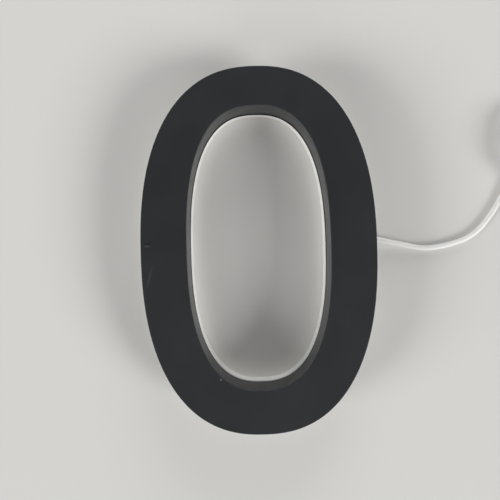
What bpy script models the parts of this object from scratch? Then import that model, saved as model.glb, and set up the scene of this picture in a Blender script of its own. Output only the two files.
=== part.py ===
"""Backlit house number 0, lying on its back with its lead coiled beside it.

A painted steel channel (flat face, outer and inner returns bent from strip and butted at the
left) sits on a rebated opal acrylic back. Lamp tape runs round the inside of the outer return.

Lengths are in metres. Z = 0 is the back face, +Z points out of the face, +Y points to the top
of the number and +X to its right.
"""

import math

import bmesh
import bpy
import numpy as np
from mathutils import Matrix, Vector

# Number outline
NUMBER_HEIGHT = 0.2000
NUMBER_WIDTH = 0.1284
SIDE_STROKE = 0.0250
TOP_STROKE = 0.0213
BOTTOM_STROKE = 0.0238
OUTER_EXPONENT = 2.37
HOLE_EXPONENT = 2.52
OUTLINE_POINTS = 80

# Steel channel
METAL_DEPTH = 0.0178
FACE_THICKNESS = 0.0012
RETURN_THICKNESS = 0.0008
EDGE_BREAK = 0.00025
SEAM_GAP = 0.0003
TOUCH_GAP = 0.0003

# Foam seal between the returns and the acrylic
SEAL_THICKNESS = 0.0006
SEAL_RECESS = 0.00015

# Acrylic back
ACRYLIC_EXPOSED = 0.0080
SPIGOT_HEIGHT = 0.0040
SPIGOT_CLEARANCE = 0.0004
HOLE_STEP = 0.0002
OVERRUN = 0.0010

# Posts welded to the face, and the screws that hold the back to them
POST_COUNT = 6
POST_RADIUS = 0.0030
POST_CHAMFER = 0.0004
POST_RELIEF = 0.0030
POST_STEPS = 14
SCREW_RADIUS = 0.0015
SCREW_HEAD_RADIUS = 0.0029
SCREW_HEAD_RIM = 0.0003
SCREW_RECESS = 0.0003
SCREW_ENGAGEMENT = 0.0042
SCREW_CHAMFER = 0.0003
SOCKET_RADIUS = 0.00115
SOCKET_DEPTH = 0.0013
SOCKET_SIDES = 6
SCREW_STEPS = 12

# Threaded inserts for wall studs
INSERT_TURN_SHARES = (1 / 6, 2 / 6, 4 / 6, 5 / 6)
INSERT_RADIUS = 0.0028
INSERT_BORE_RADIUS = 0.00165
INSERT_LENGTH = 0.0060
INSERT_GROOVE_WIDTH = 0.0012
INSERT_GROOVE_DEPTH = 0.0004
INSERT_RECESS = 0.0002
INSERT_STEPS = 12

# Lamp tape, standing on edge round the inside of the outer return
TAPE_WIDTH = 0.0080
TAPE_THICKNESS = 0.0005
TAPE_START = 0.0155
TAPE_END_ROOM = 0.0100
LED_PITCH = 0.0333
LEDS_PER_CUT = 3
LED_SIZE = 0.0050
LED_THICKNESS = 0.0016
LED_LENS_RADIUS = 0.0020
LED_LENS_DEPTH = 0.0004
LED_LENS_STEPS = 12
RESISTOR_LENGTH = 0.0032
RESISTOR_WIDTH = 0.0016
RESISTOR_THICKNESS = 0.0006
RESISTOR_ROUNDING = 0.00012

# Lead: exit through the acrylic's right side, and the pocket behind it
CORD_DIAMETER = 0.0030
CORD_EXIT_RISE = 0.0045
CORD_FLOOR_GAP = 0.00005
CORD_RESOLUTION = 2
POCKET_WALL = 0.0070
POCKET_ALONG = 0.0105
POCKET_ACROSS = 0.0200
POCKET_LOWER_SHARE = 0.25
POCKET_FLOOR = 0.0011
STOP_WIDTH = 0.0025
STOP_THICKNESS = 0.0008
STOP_HEAD_LENGTH = 0.0036
STOP_HEAD_HEIGHT = 0.0026
STOP_STEPS = 14
JACKET_TAIL = 0.0015
JACKET_POINTS = 4
CORE_RADIUS = 0.00055
CORE_SPREAD = 0.00150
CORE_REACH = 0.0050
CORE_RESOLUTION = 1
PAD_SPREAD = 0.0050
PAD_INSET = 0.0030
CORE_POINTS = 16

# Grommet
GROMMET_WALL = 0.0009
GROMMET_STEM = 0.0040
GROMMET_FLANGE = 0.0009
GROMMET_FLANGE_THICKNESS = 0.0012
GROMMET_NOSE = 0.0036
GROMMET_TIP_WALL = 0.0005
GROMMET_STEPS = 16

# Free stretch of the lead. Each point is a place seen from above, counted from the grommet's
# tip, and the share of the exit's height that the lead still has there.
JOINT_SHARE = 0.45
CORD_SPACING = 0.0072
ROUTE_STEPS = 24
FREE_ROUTE = (
    (0.0020, -0.0002, 1.00),
    (0.0080, -0.0016, 0.86),
    (0.0155, -0.0032, 0.60),
    (0.0236, -0.0050, 0.28),
    (0.0290, -0.0057, 0.10),
    (0.0345, -0.0056, 0.00),
    (0.0438, -0.0040, 0.00),
    (0.0510, -0.0020, 0.00),
    (0.0552, -0.0002, 0.00),
    (0.0600, 0.0028, 0.00),
    (0.0654, 0.0080, 0.00),
    (0.0709, 0.0153, 0.00),
    (0.0752, 0.0222, 0.00),
)

# Last points before the coil, with the share of the way up to its lowest layer
COIL_APPROACH = (
    (0.0796, 0.0310, 0.12),
    (0.0822, 0.0375, 0.33),
)

# Coil of the length that is put away, and the strap round it
COIL_LAYERS = 4
TURNS_PER_LAYER = 3
LOOP_POINTS = 24
COIL_RESOLUTION = 1
CLIMB_TURN_SHARE = 0.5
COIL_MEAN_RADIUS = 0.0177
COIL_GAP = 0.0005
COIL_START_X = 0.0831
COIL_START_Y = 0.0440
STRAP_WIDTH = 0.0040
STRAP_THICKNESS = 0.0006
STRAP_CORNER = 0.0022
STRAP_CORNER_POINTS = 4

# Plug on the far end
TAIL_TURN = 0.0170
TAIL_RUN = 0.0110
TAIL_BEND_POINTS = 4
TAIL_DROP_SHARES = (-0.25, 1.2)
PLUG_RELIEF_LENGTH = 0.0100
PLUG_RELIEF_RADIUS = 0.0031
PLUG_NECK_RADIUS = 0.0040
PLUG_GROOVES = 4
PLUG_GROOVE_DEPTH = 0.0006
PLUG_BODY_RADIUS = 0.0050
PLUG_BODY_LENGTH = 0.0180
PLUG_CHAMFER = 0.0008
PLUG_CORD_DEPTH = 0.0040
PLUG_STEPS = 14
BARREL_RADIUS = 0.00275
BARREL_WALL = 0.0005
BARREL_LENGTH = 0.0095
BARREL_ROOT = 0.0030
BARREL_CHAMFER = 0.0003
CORE_BORE_RADIUS = 0.00105
CORE_RECESS = 0.0004
BARREL_STEPS = 16

WELD = 0.000001
SHARP_ANGLE = math.radians(35)

# Levels, from the back face up
EXPOSED_TOP = ACRYLIC_EXPOSED
SPIGOT_TOP = EXPOSED_TOP + SPIGOT_HEIGHT
SEAL_LOW = EXPOSED_TOP + TOUCH_GAP
SEAL_HIGH = SEAL_LOW + SEAL_THICKNESS
RETURN_LOW = SEAL_HIGH + TOUCH_GAP
FACE_FRONT = RETURN_LOW + METAL_DEPTH
FACE_BACK = FACE_FRONT - FACE_THICKNESS
RETURN_HIGH = FACE_BACK - TOUCH_GAP
TAPE_LEVEL = (SPIGOT_TOP + FACE_BACK) / 2
CORD_LEVEL = ACRYLIC_EXPOSED / 2

# Offsets from an outline into the metal or acrylic
SPIGOT_INSET = RETURN_THICKNESS + SPIGOT_CLEARANCE
SEAL_INSET = SPIGOT_INSET - TOUCH_GAP

CORD_RADIUS = CORD_DIAMETER / 2
CORD_BORE_RADIUS = CORD_RADIUS + TOUCH_GAP
GROMMET_STEM_RADIUS = CORD_BORE_RADIUS + GROMMET_WALL
CORD_REST = CORD_RADIUS + CORD_FLOOR_GAP

OUTER = {
    "half_width": NUMBER_WIDTH / 2,
    "half_height": NUMBER_HEIGHT / 2,
    "exponent": OUTER_EXPONENT,
    "middle": 0.0,
}
HOLE = {
    "half_width": NUMBER_WIDTH / 2 - SIDE_STROKE,
    "half_height": (NUMBER_HEIGHT - TOP_STROKE - BOTTOM_STROKE) / 2,
    "exponent": HOLE_EXPONENT,
    "middle": (BOTTOM_STROKE - TOP_STROKE) / 2,
}
RING = 2 * math.pi * np.arange(OUTLINE_POINTS) / OUTLINE_POINTS


def clear_scene():
    for thing in list(bpy.data.objects):
        bpy.data.objects.remove(thing, do_unlink=True)
    for group in list(bpy.data.collections):
        bpy.data.collections.remove(group)


def new_collection(name):
    group = bpy.data.collections.new(name)
    bpy.context.scene.collection.children.link(group)
    return group


def new_material(name, colour, roughness, metallic=0.0):
    made = bpy.data.materials.new(name)
    made.use_nodes = True
    shader = made.node_tree.nodes["Principled BSDF"]
    shader.inputs["Base Color"].default_value = (*colour, 1.0)
    shader.inputs["Roughness"].default_value = roughness
    shader.inputs["Metallic"].default_value = metallic
    made.diffuse_color = (*colour, 1.0)
    return made


def add_part(name, data, material):
    """A finished piece. Meshes are shaded smooth between their sharp edges."""
    part = bpy.data.objects.new(name, data)
    parts.objects.link(part)
    if not data.materials:
        data.materials.append(material)
    if part.type == "MESH":
        data.shade_smooth()
        data.set_sharp_from_angle(angle=SHARP_ANGLE)
    return part


def add_cutter(name, data):
    cutter = bpy.data.objects.new(name, data)
    cutters.objects.link(cutter)
    cutter.hide_render = True
    cutter.display_type = "WIRE"
    return cutter


def outline(shape, offset=0.0, angles=RING):
    """Points of a superellipse, moved along its outward normal by the offset."""
    cosine, sine = np.cos(angles), np.sin(angles)
    power = 2 / shape["exponent"]
    x = shape["half_width"] * np.sign(cosine) * np.abs(cosine) ** power
    y = shape["half_height"] * np.sign(sine) * np.abs(sine) ** power
    across = np.sign(cosine) * np.abs(cosine) ** (2 - power) / shape["half_width"]
    along = np.sign(sine) * np.abs(sine) ** (2 - power) / shape["half_height"]
    length = np.hypot(across, along)
    return np.column_stack(
        (x + offset * across / length, y + shape["middle"] + offset * along / length)
    )


def seamed_angles(shape):
    """Angles once round the outline, stopping half a seam short of its leftmost point."""
    half_seam = math.asin((SEAM_GAP / 2 / shape["half_height"]) ** (shape["exponent"] / 2))
    inside = np.arange(1 - OUTLINE_POINTS // 2, OUTLINE_POINTS // 2)
    return np.concatenate(
        ([half_seam - math.pi], 2 * math.pi * inside / OUTLINE_POINTS, [math.pi - half_seam])
    )


def edge_x(shape, y):
    """Where the outline's right side is at a height above the middle."""
    share = abs((y - shape["middle"]) / shape["half_height"]) ** shape["exponent"]
    return shape["half_width"] * (1 - share) ** (1 / shape["exponent"])


def stroke_middle(angle):
    both = outline(OUTER, angles=np.array([angle])) + outline(HOLE, angles=np.array([angle]))
    return both[0] / 2


def flat_curve(name, loops, thickness):
    """A filled 2D curve round the loops, extruded to the thickness."""
    curve = bpy.data.curves.new(name, "CURVE")
    curve.dimensions = "2D"
    curve.fill_mode = "BOTH"
    curve.extrude = thickness / 2
    for loop in loops:
        spline = curve.splines.new("POLY")
        spline.points.add(len(loop) - 1)
        spline.points.foreach_set(
            "co", np.column_stack((loop, np.zeros(len(loop)), np.ones(len(loop)))).ravel()
        )
        spline.use_cyclic_u = True
    return curve


def solid_mesh(source):
    """The shape of an object with its modifiers, as one welded mesh. The object is removed."""
    bpy.context.view_layer.update()
    shown = source.evaluated_get(bpy.context.evaluated_depsgraph_get())
    mesh = bpy.data.meshes.new_from_object(shown)
    work = bmesh.new()
    work.from_mesh(mesh)
    bmesh.ops.remove_doubles(work, verts=work.verts, dist=WELD)
    work.to_mesh(mesh)
    work.free()
    mesh.materials.clear()
    name, data = source.name, source.data
    bpy.data.objects.remove(source, do_unlink=True)
    bpy.data.batch_remove((data,))
    mesh.name = name
    return mesh


def ring_mesh(name, loops, low, high):
    """A flat ring between two levels, as a mesh."""
    mesh = solid_mesh(add_cutter(name, flat_curve(name, loops, high - low)))
    mesh.transform(Matrix.Translation((0, 0, (low + high) / 2)))
    return mesh


def box_mesh(name, low, high):
    """A box between two corners."""
    low, high = Vector(low), Vector(high)
    work = bmesh.new()
    bmesh.ops.create_cube(work, size=1)
    bmesh.ops.scale(work, vec=high - low, verts=work.verts)
    bmesh.ops.translate(work, vec=(low + high) / 2, verts=work.verts)
    mesh = bpy.data.meshes.new(name)
    work.to_mesh(mesh)
    work.free()
    return mesh


def turned(name, profile, steps, closed=False):
    """A mesh turned round Z. The profile's (radius, height) pairs run down its outer side."""
    count = len(profile)
    edges = [(i, i + 1) for i in range(count - 1)]
    if closed:
        edges.append((count - 1, 0))
    line = bpy.data.meshes.new(name)
    line.from_pydata([(radius, 0, height) for radius, height in profile], edges, [])
    source = add_cutter(name, line)
    screw = source.modifiers.new("turn", "SCREW")
    screw.angle = 2 * math.pi
    screw.steps = steps
    screw.render_steps = steps
    screw.use_merge_vertices = True
    screw.merge_threshold = WELD
    screw.use_smooth_shade = False
    return solid_mesh(source)


def point_along_x(thing):
    """Lays an object that was turned round Z along X, its top towards +X."""
    thing.rotation_euler = (0, math.pi / 2, 0)


def cut(target, cutter, operation="DIFFERENCE"):
    boolean = target.modifiers.new(cutter.name, "BOOLEAN")
    boolean.operation = operation
    boolean.solver = "EXACT"
    boolean.object = cutter


def tube(name, points, radius, resolution, material):
    """A round tube with closed ends along the points."""
    curve = bpy.data.curves.new(name, "CURVE")
    curve.dimensions = "3D"
    curve.bevel_depth = radius
    curve.bevel_resolution = resolution
    curve.use_fill_caps = True
    spline = curve.splines.new("POLY")
    spline.points.add(len(points) - 1)
    spline.points.foreach_set("co", np.column_stack((points, np.ones(len(points)))).ravel())
    return add_part(name, curve, material)


def lengths_along(points):
    """The length travelled along a line up to each of its points."""
    steps = np.linalg.norm(np.diff(points, axis=0), axis=1)
    return np.concatenate(([0], np.cumsum(steps)))


def smooth_route(points, spacing):
    """Points at an even spacing on a Catmull-Rom curve through the given ones."""
    given = np.array(points)
    padded = np.vstack((2 * given[0] - given[1], given, 2 * given[-1] - given[-2]))
    step = np.linspace(0, 1, ROUTE_STEPS, endpoint=False)[:, None]
    pieces = []
    for a, b, c, d in zip(padded, padded[1:], padded[2:], padded[3:]):
        bend = (2 * a - 5 * b + 4 * c - d) * step**2 + (3 * b - a - 3 * c + d) * step**3
        pieces.append(b + ((c - a) * step + bend) / 2)
    dense = np.vstack((*pieces, given[-1:]))
    travelled = lengths_along(dense)
    places = np.linspace(0, travelled[-1], max(2, round(travelled[-1] / spacing)) + 1)
    return np.column_stack([np.interp(places, travelled, dense[:, k]) for k in range(3)])


def bent_strip(name, line, low, high, thickness, outwards, material):
    """A strip standing on edge along a line round the origin, thickened outwards or inwards."""
    work = bmesh.new()
    corners = [work.verts.new((x, y, low)) for x, y in line]
    edges = [work.edges.new(pair) for pair in zip(corners, corners[1:])]
    risen = bmesh.ops.extrude_edge_only(work, edges=edges)["geom"]
    top = [item for item in risen if isinstance(item, bmesh.types.BMVert)]
    bmesh.ops.translate(work, vec=(0, 0, high - low), verts=top)
    work.normal_update()
    work.faces.ensure_lookup_table()
    first = work.faces[0]
    if first.normal.xy.dot(first.calc_center_median().xy) < 0:
        bmesh.ops.reverse_faces(work, faces=work.faces)
    mesh = bpy.data.meshes.new(name)
    work.to_mesh(mesh)
    work.free()
    strip = add_cutter(name, mesh)
    solidify = strip.modifiers.new("sheet", "SOLIDIFY")
    solidify.thickness = thickness
    solidify.offset = 1 if outwards else -1
    solidify.use_even_offset = True
    solidify.use_rim = True
    add_part(name, solid_mesh(strip), material)


def make_face():
    mesh = ring_mesh("face_plate", (outline(OUTER), outline(HOLE)), FACE_BACK, FACE_FRONT)
    plate = add_cutter("face_plate", mesh)
    front = plate.vertex_groups.new(name="front")
    middle = (FACE_BACK + FACE_FRONT) / 2
    front.add([v.index for v in mesh.vertices if v.co.z > middle], 1.0, "REPLACE")
    bevel = plate.modifiers.new("edge", "BEVEL")
    bevel.width = EDGE_BREAK
    bevel.segments = 1
    bevel.limit_method = "VGROUP"
    bevel.vertex_group = front.name
    add_part("face_plate", solid_mesh(plate), black_coat)


def make_returns():
    for name, shape, outwards in (("outer_return", OUTER, False), ("inner_return", HOLE, True)):
        line = outline(shape, angles=seamed_angles(shape))
        bent_strip(name, line, RETURN_LOW, RETURN_HIGH, RETURN_THICKNESS, outwards, black_coat)


def make_seals():
    middle = (SEAL_LOW + SEAL_HIGH) / 2
    for name, shape, side in (("outer_seal", OUTER, -1), ("inner_seal", HOLE, 1)):
        loops = (outline(shape, side * SEAL_RECESS), outline(shape, side * SEAL_INSET))
        seal = add_part(name, flat_curve(name, loops, SEAL_THICKNESS), foam)
        seal.location.z = middle


def post_angles():
    return [2 * math.pi * (i + 0.5) / POST_COUNT for i in range(POST_COUNT)]


def insert_angles():
    return [2 * math.pi * share for share in INSERT_TURN_SHARES]


def make_posts():
    low = SPIGOT_TOP + TOUCH_GAP
    high = FACE_BACK - TOUCH_GAP
    bore = SCREW_RADIUS + TOUCH_GAP
    bore_end = low + SCREW_ENGAGEMENT + POST_RELIEF
    profile = (
        (0, high),
        (POST_RADIUS, high),
        (POST_RADIUS, low + POST_CHAMFER),
        (POST_RADIUS - POST_CHAMFER, low),
        (bore, low),
        (bore, bore_end),
        (0, bore_end + bore),
    )
    mesh = turned("face_post", profile, POST_STEPS)
    for number, angle in enumerate(post_angles(), 1):
        post = add_part(f"face_post_{number}", mesh, zinc_steel)
        post.location = (*stroke_middle(angle), 0)


def screw_profile(clearance, low, tip):
    """A countersunk screw's profile or, with a clearance, that of the hole it goes in."""
    radius = SCREW_RADIUS + clearance
    head = SCREW_HEAD_RADIUS + clearance
    rim = SCREW_RECESS + SCREW_HEAD_RIM + clearance
    return (
        (0, tip),
        (radius - SCREW_CHAMFER, tip),
        (radius, tip - SCREW_CHAMFER),
        (radius, rim + head - radius),
        (head, rim),
        (head, low),
        (0, low),
    )


def make_screws():
    tip = SPIGOT_TOP + TOUCH_GAP + SCREW_ENGAGEMENT
    profile = screw_profile(0, SCREW_RECESS, tip)
    screw = add_cutter("back_screw", turned("back_screw", profile, SCREW_STEPS))
    socket_top = SCREW_RECESS + SOCKET_DEPTH
    work = bmesh.new()
    bmesh.ops.create_cone(
        work,
        cap_ends=True,
        segments=SOCKET_SIDES,
        radius1=SOCKET_RADIUS,
        radius2=SOCKET_RADIUS,
        depth=socket_top + OVERRUN,
        matrix=Matrix.Translation((0, 0, (socket_top - OVERRUN) / 2)),
    )
    socket = bpy.data.meshes.new("socket")
    work.to_mesh(socket)
    work.free()
    cut(screw, add_cutter("socket", socket))
    mesh = solid_mesh(screw)
    for number, angle in enumerate(post_angles(), 1):
        placed = add_part(f"back_screw_{number}", mesh, zinc_steel)
        placed.location = (*stroke_middle(angle), 0)


def make_inserts():
    low = INSERT_RECESS
    high = low + INSERT_LENGTH
    middle = (low + high) / 2
    waist = INSERT_RADIUS - INSERT_GROOVE_DEPTH
    profile = (
        (INSERT_RADIUS, high),
        (INSERT_RADIUS, middle + INSERT_GROOVE_WIDTH / 2),
        (waist, middle + INSERT_GROOVE_WIDTH / 2),
        (waist, middle - INSERT_GROOVE_WIDTH / 2),
        (INSERT_RADIUS, middle - INSERT_GROOVE_WIDTH / 2),
        (INSERT_RADIUS, low),
        (INSERT_BORE_RADIUS, low),
        (INSERT_BORE_RADIUS, high),
    )
    mesh = turned("wall_insert", profile, INSERT_STEPS, closed=True)
    for number, angle in enumerate(insert_angles(), 1):
        insert = add_part(f"wall_insert_{number}", mesh, brass)
        insert.location = (*stroke_middle(angle), 0)


def pocket_corners():
    """The lowest and highest corner of the pocket behind the lead's exit."""
    high_x = edge_x(OUTER, CORD_EXIT_RISE) - POCKET_WALL
    low_y = CORD_EXIT_RISE - POCKET_ACROSS * POCKET_LOWER_SHARE
    low = (high_x - POCKET_ALONG, low_y, POCKET_FLOOR)
    return low, (high_x, low_y + POCKET_ACROSS, SPIGOT_TOP + OVERRUN)


def make_acrylic():
    """The plate, its spigot inside the returns, and every hole and pocket cut in them."""
    plate = ring_mesh("acrylic_back", (outline(OUTER), outline(HOLE, -HOLE_STEP)), 0, EXPOSED_TOP)
    back = add_cutter("acrylic_back", plate)
    loops = (outline(OUTER, -SPIGOT_INSET), outline(HOLE, SPIGOT_INSET))
    spigot = ring_mesh("spigot", loops, EXPOSED_TOP - OVERRUN, SPIGOT_TOP)
    cut(back, add_cutter("spigot", spigot), "UNION")

    through = screw_profile(TOUCH_GAP, -OVERRUN, SPIGOT_TOP + OVERRUN)
    screw_hole = turned("screw_hole", through, SCREW_STEPS)
    for number, angle in enumerate(post_angles(), 1):
        cutter = add_cutter(f"screw_hole_{number}", screw_hole)
        cutter.location = (*stroke_middle(angle), 0)
        cut(back, cutter)

    radius = INSERT_RADIUS + TOUCH_GAP
    depth = INSERT_RECESS + INSERT_LENGTH + TOUCH_GAP
    blind = ((0, depth), (radius, depth), (radius, -OVERRUN), (0, -OVERRUN))
    insert_hole = turned("insert_hole", blind, INSERT_STEPS)
    for number, angle in enumerate(insert_angles(), 1):
        cutter = add_cutter(f"insert_hole_{number}", insert_hole)
        cutter.location = (*stroke_middle(angle), 0)
        cut(back, cutter)

    cut(back, add_cutter("wire_pocket", box_mesh("wire_pocket", *pocket_corners())))
    stem = GROMMET_STEM_RADIUS + TOUCH_GAP
    shoulder = -(GROMMET_STEM + TOUCH_GAP)
    inner = -(POCKET_WALL + OVERRUN)
    profile = (
        (0, OVERRUN),
        (stem, OVERRUN),
        (stem, shoulder),
        (CORD_BORE_RADIUS, shoulder),
        (CORD_BORE_RADIUS, inner),
        (0, inner),
    )
    bore = add_cutter("cord_bore", turned("cord_bore", profile, GROMMET_STEPS))
    bore.location = exit_place()
    point_along_x(bore)
    cut(back, bore)
    add_part("acrylic_back", solid_mesh(back), opal_acrylic)


def exit_place():
    return Vector((edge_x(OUTER, CORD_EXIT_RISE), CORD_EXIT_RISE, CORD_LEVEL))


def tape_line():
    """The tape's outer face as a dense line round the outer return, and the lengths along it."""
    offset = -(RETURN_THICKNESS + TOUCH_GAP)
    line = outline(OUTER, offset)
    closed = np.vstack((line, line[:1]))
    return closed, lengths_along(closed)


def tape_layout():
    """How many whole cuts of the tape fit, and where along the outline it starts past the exit."""
    _, travelled = tape_line()
    room = travelled[-1] - TAPE_START - TAPE_END_ROOM
    return int(room / (LEDS_PER_CUT * LED_PITCH)), CORD_EXIT_RISE + TAPE_START


def on_tape(place, height):
    """A point on the tape's inner face and its turn, facing into the channel."""
    line, travelled = tape_line()
    place %= travelled[-1]
    side = int(np.searchsorted(travelled, place, side="right")) - 1
    share = (place - travelled[side]) / (travelled[side + 1] - travelled[side])
    along = line[side + 1] - line[side]
    along = along / np.linalg.norm(along)
    inward = np.array((-along[1], along[0]))
    point = line[side] + share * (line[side + 1] - line[side]) + inward * TAPE_THICKNESS
    across = Vector((*inward, 0))
    tangent = Vector((*along, 0))
    turn = Matrix((tangent, across.cross(tangent), across)).transposed()
    return Vector((*point, height)), turn


def make_tape():
    cuts, start = tape_layout()
    line, travelled = tape_line()
    end = start + cuts * LEDS_PER_CUT * LED_PITCH
    doubled = np.vstack((line, line[1:]))
    lengths = np.concatenate((travelled, travelled[-1] + travelled[1:]))
    inside = lengths[(lengths > start + WELD) & (lengths < end - WELD)]
    places = np.concatenate(([start], inside, [end]))
    points = np.column_stack([np.interp(places, lengths, doubled[:, k]) for k in range(2)])
    low = TAPE_LEVEL - TAPE_WIDTH / 2
    bent_strip("led_tape", points, low, low + TAPE_WIDTH, TAPE_THICKNESS, False, white_board)


def led_mesh():
    """One lamp package, its back at Z = 0, with the round dip of its lens."""
    half = LED_SIZE / 2
    block = box_mesh("led", (-half, -half, 0), (half, half, LED_THICKNESS))
    package = add_cutter("led", block)
    floor = LED_THICKNESS - LED_LENS_DEPTH
    profile = (
        (0, LED_THICKNESS + OVERRUN),
        (LED_LENS_RADIUS, LED_THICKNESS + OVERRUN),
        (LED_LENS_RADIUS, floor),
        (0, floor),
    )
    cut(package, add_cutter("lens", turned("lens", profile, LED_LENS_STEPS)))
    return solid_mesh(package)


def resistor_mesh():
    low = (-RESISTOR_LENGTH / 2, -RESISTOR_WIDTH / 2, 0)
    high = (RESISTOR_LENGTH / 2, RESISTOR_WIDTH / 2, RESISTOR_THICKNESS)
    chip = add_cutter("tape_resistor", box_mesh("tape_resistor", low, high))
    bevel = chip.modifiers.new("edge", "BEVEL")
    bevel.width = RESISTOR_ROUNDING
    bevel.segments = 1
    return solid_mesh(chip)


def make_lamps():
    cuts, start = tape_layout()
    lamp, chip = led_mesh(), resistor_mesh()
    for number in range(cuts * LEDS_PER_CUT):
        place, turn = on_tape(start + (number + 0.5) * LED_PITCH, TAPE_LEVEL)
        led = add_part(f"led_{number + 1}", lamp, led_resin)
        led.matrix_world = Matrix.Translation(place + turn.col[2] * TOUCH_GAP) @ turn.to_4x4()
    for number in range(cuts):
        place, turn = on_tape(start + (number * LEDS_PER_CUT + 1) * LED_PITCH, TAPE_LEVEL)
        resistor = add_part(f"tape_resistor_{number + 1}", chip, resistor_black)
        resistor.matrix_world = Matrix.Translation(place + turn.col[2] * TOUCH_GAP) @ turn.to_4x4()


def jacket_end():
    wall = edge_x(OUTER, CORD_EXIT_RISE) - POCKET_WALL
    return Vector((wall - TOUCH_GAP - STOP_WIDTH - JACKET_TAIL, CORD_EXIT_RISE, CORD_LEVEL))


def make_cores():
    """The lead's two cores, each on one cubic curve from the jacket's end to its pad."""
    _, start = tape_layout()
    step = np.linspace(0, 1, CORE_POINTS)[:, None]
    for name, side, coat in (("red_lead", 1, red_pvc), ("black_lead", -1, black_pvc)):
        begin = jacket_end() - Vector((TOUCH_GAP, side * CORE_SPREAD / 2, 0))
        pad, turn = on_tape(start + PAD_INSET, TAPE_LEVEL + side * PAD_SPREAD / 2)
        end = pad + turn.col[2] * TOUCH_GAP
        leave = begin - Vector((CORE_REACH, 0, 0))
        arrive = end + turn.col[2] * 2 * CORE_REACH
        points = (
            (1 - step) ** 3 * np.array(begin)
            + 3 * (1 - step) ** 2 * step * np.array(leave)
            + 3 * (1 - step) * step**2 * np.array(arrive)
            + step**3 * np.array(end)
        )
        tube(name, points, CORE_RADIUS, CORE_RESOLUTION, coat)


def make_cord_inside():
    """The jacketed lead from the pocket into the grommet, and the tie that stops it."""
    begin = jacket_end()
    end = exit_place() - Vector((GROMMET_STEM * JOINT_SHARE, 0, 0))
    line = np.linspace(begin, end, JACKET_POINTS)
    tube("cord_inside", line, CORD_RADIUS, CORD_RESOLUTION, white_pvc)

    inner = CORD_BORE_RADIUS
    outer = inner + STOP_THICKNESS
    half = STOP_WIDTH / 2
    profile = ((outer, half), (outer, -half), (inner, -half), (inner, half))
    band = add_cutter("cord_stop", turned("cord_stop", profile, STOP_STEPS, closed=True))
    reach = STOP_HEAD_LENGTH / 2
    top = -(inner + STOP_THICKNESS / 2)
    low = (top - STOP_HEAD_HEIGHT, -reach, -half)
    head = box_mesh("stop_head", low, (top, reach, half))
    cut(band, add_cutter("stop_head", head), "UNION")
    tie = add_part("cord_stop", solid_mesh(band), nylon)
    tie.location = begin + Vector((JACKET_TAIL + half, 0, 0))
    point_along_x(tie)


def make_grommet():
    flange_low = TOUCH_GAP
    flange_high = flange_low + GROMMET_FLANGE_THICKNESS
    tip = flange_high + GROMMET_NOSE
    profile = (
        (CORD_BORE_RADIUS + GROMMET_TIP_WALL, tip),
        (GROMMET_STEM_RADIUS, flange_high),
        (GROMMET_STEM_RADIUS + GROMMET_FLANGE, flange_high),
        (GROMMET_STEM_RADIUS + GROMMET_FLANGE, flange_low),
        (GROMMET_STEM_RADIUS, flange_low),
        (GROMMET_STEM_RADIUS, -GROMMET_STEM),
        (CORD_BORE_RADIUS, -GROMMET_STEM),
        (CORD_BORE_RADIUS, tip),
    )
    mesh = turned("cord_grommet", profile, GROMMET_STEPS, closed=True)
    grommet = add_part("cord_grommet", mesh, white_rubber)
    grommet.location = exit_place()
    point_along_x(grommet)
    return grommet.location.x + tip


def make_free_stretch(tip_x):
    """The lead from inside the grommet to the coil. Returns where the coil starts."""
    coil_z = CORD_REST + STRAP_THICKNESS + 2 * TOUCH_GAP
    start = exit_place() + Vector((TOUCH_GAP - GROMMET_STEM * JOINT_SHARE, 0, 0))
    tip = np.array((tip_x, CORD_EXIT_RISE, CORD_LEVEL))
    drop = CORD_LEVEL - CORD_REST
    rise = coil_z - CORD_REST
    route = [tip + (x, y, (share - 1) * drop) for x, y, share in FREE_ROUTE]
    route += [tip + (x, y, share * rise - drop) for x, y, share in COIL_APPROACH]
    coil_start = tip + (COIL_START_X, COIL_START_Y, coil_z - CORD_LEVEL)
    route.append(coil_start - (0, CORD_DIAMETER + TOUCH_GAP, 0))
    route.append(coil_start - (0, TOUCH_GAP, 0))
    points = smooth_route([np.array(start), tip, *route], CORD_SPACING)
    tube("cord_free", points, CORD_RADIUS, CORD_RESOLUTION, white_pvc)
    return coil_start, lengths_along(points)[-1]


def coil_points(start):
    """A tube that winds clockwise in flat layers, in and out again, and climbs at each turn back."""
    pitch = CORD_DIAMETER + COIL_GAP
    outer = COIL_MEAN_RADIUS + TURNS_PER_LAYER * pitch / 2
    centre = start + (outer, CORD_DIAMETER, 0)
    turns = np.arange(COIL_LAYERS * TURNS_PER_LAYER * LOOP_POINTS + 1) / LOOP_POINTS
    folded = TURNS_PER_LAYER - np.abs(turns % (2 * TURNS_PER_LAYER) - TURNS_PER_LAYER)
    radius = outer - pitch * folded
    climbed = np.zeros(len(turns))
    for layer in range(1, COIL_LAYERS):
        begun = turns - layer * TURNS_PER_LAYER + CLIMB_TURN_SHARE / 2
        part = np.clip(begun / CLIMB_TURN_SHARE, 0, 1)
        climbed += part**2 * (3 - 2 * part)
    angle = math.pi - 2 * math.pi * turns
    wound = np.column_stack(
        (
            centre[0] + radius * np.cos(angle),
            centre[1] + radius * np.sin(angle),
            centre[2] + pitch * climbed,
        )
    )
    end = wound[-1] + (0, CORD_DIAMETER, 0)
    return np.vstack((start, wound, end)), centre


def least_gap(points):
    """The least clear distance between turns of the coil that aren't neighbours in it."""
    apart = np.linalg.norm(points[:, None] - points[None], axis=2)
    order = np.arange(len(points))
    far = np.abs(order[:, None] - order[None]) > LOOP_POINTS / 2
    return float(apart[far].min()) - CORD_DIAMETER


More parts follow.
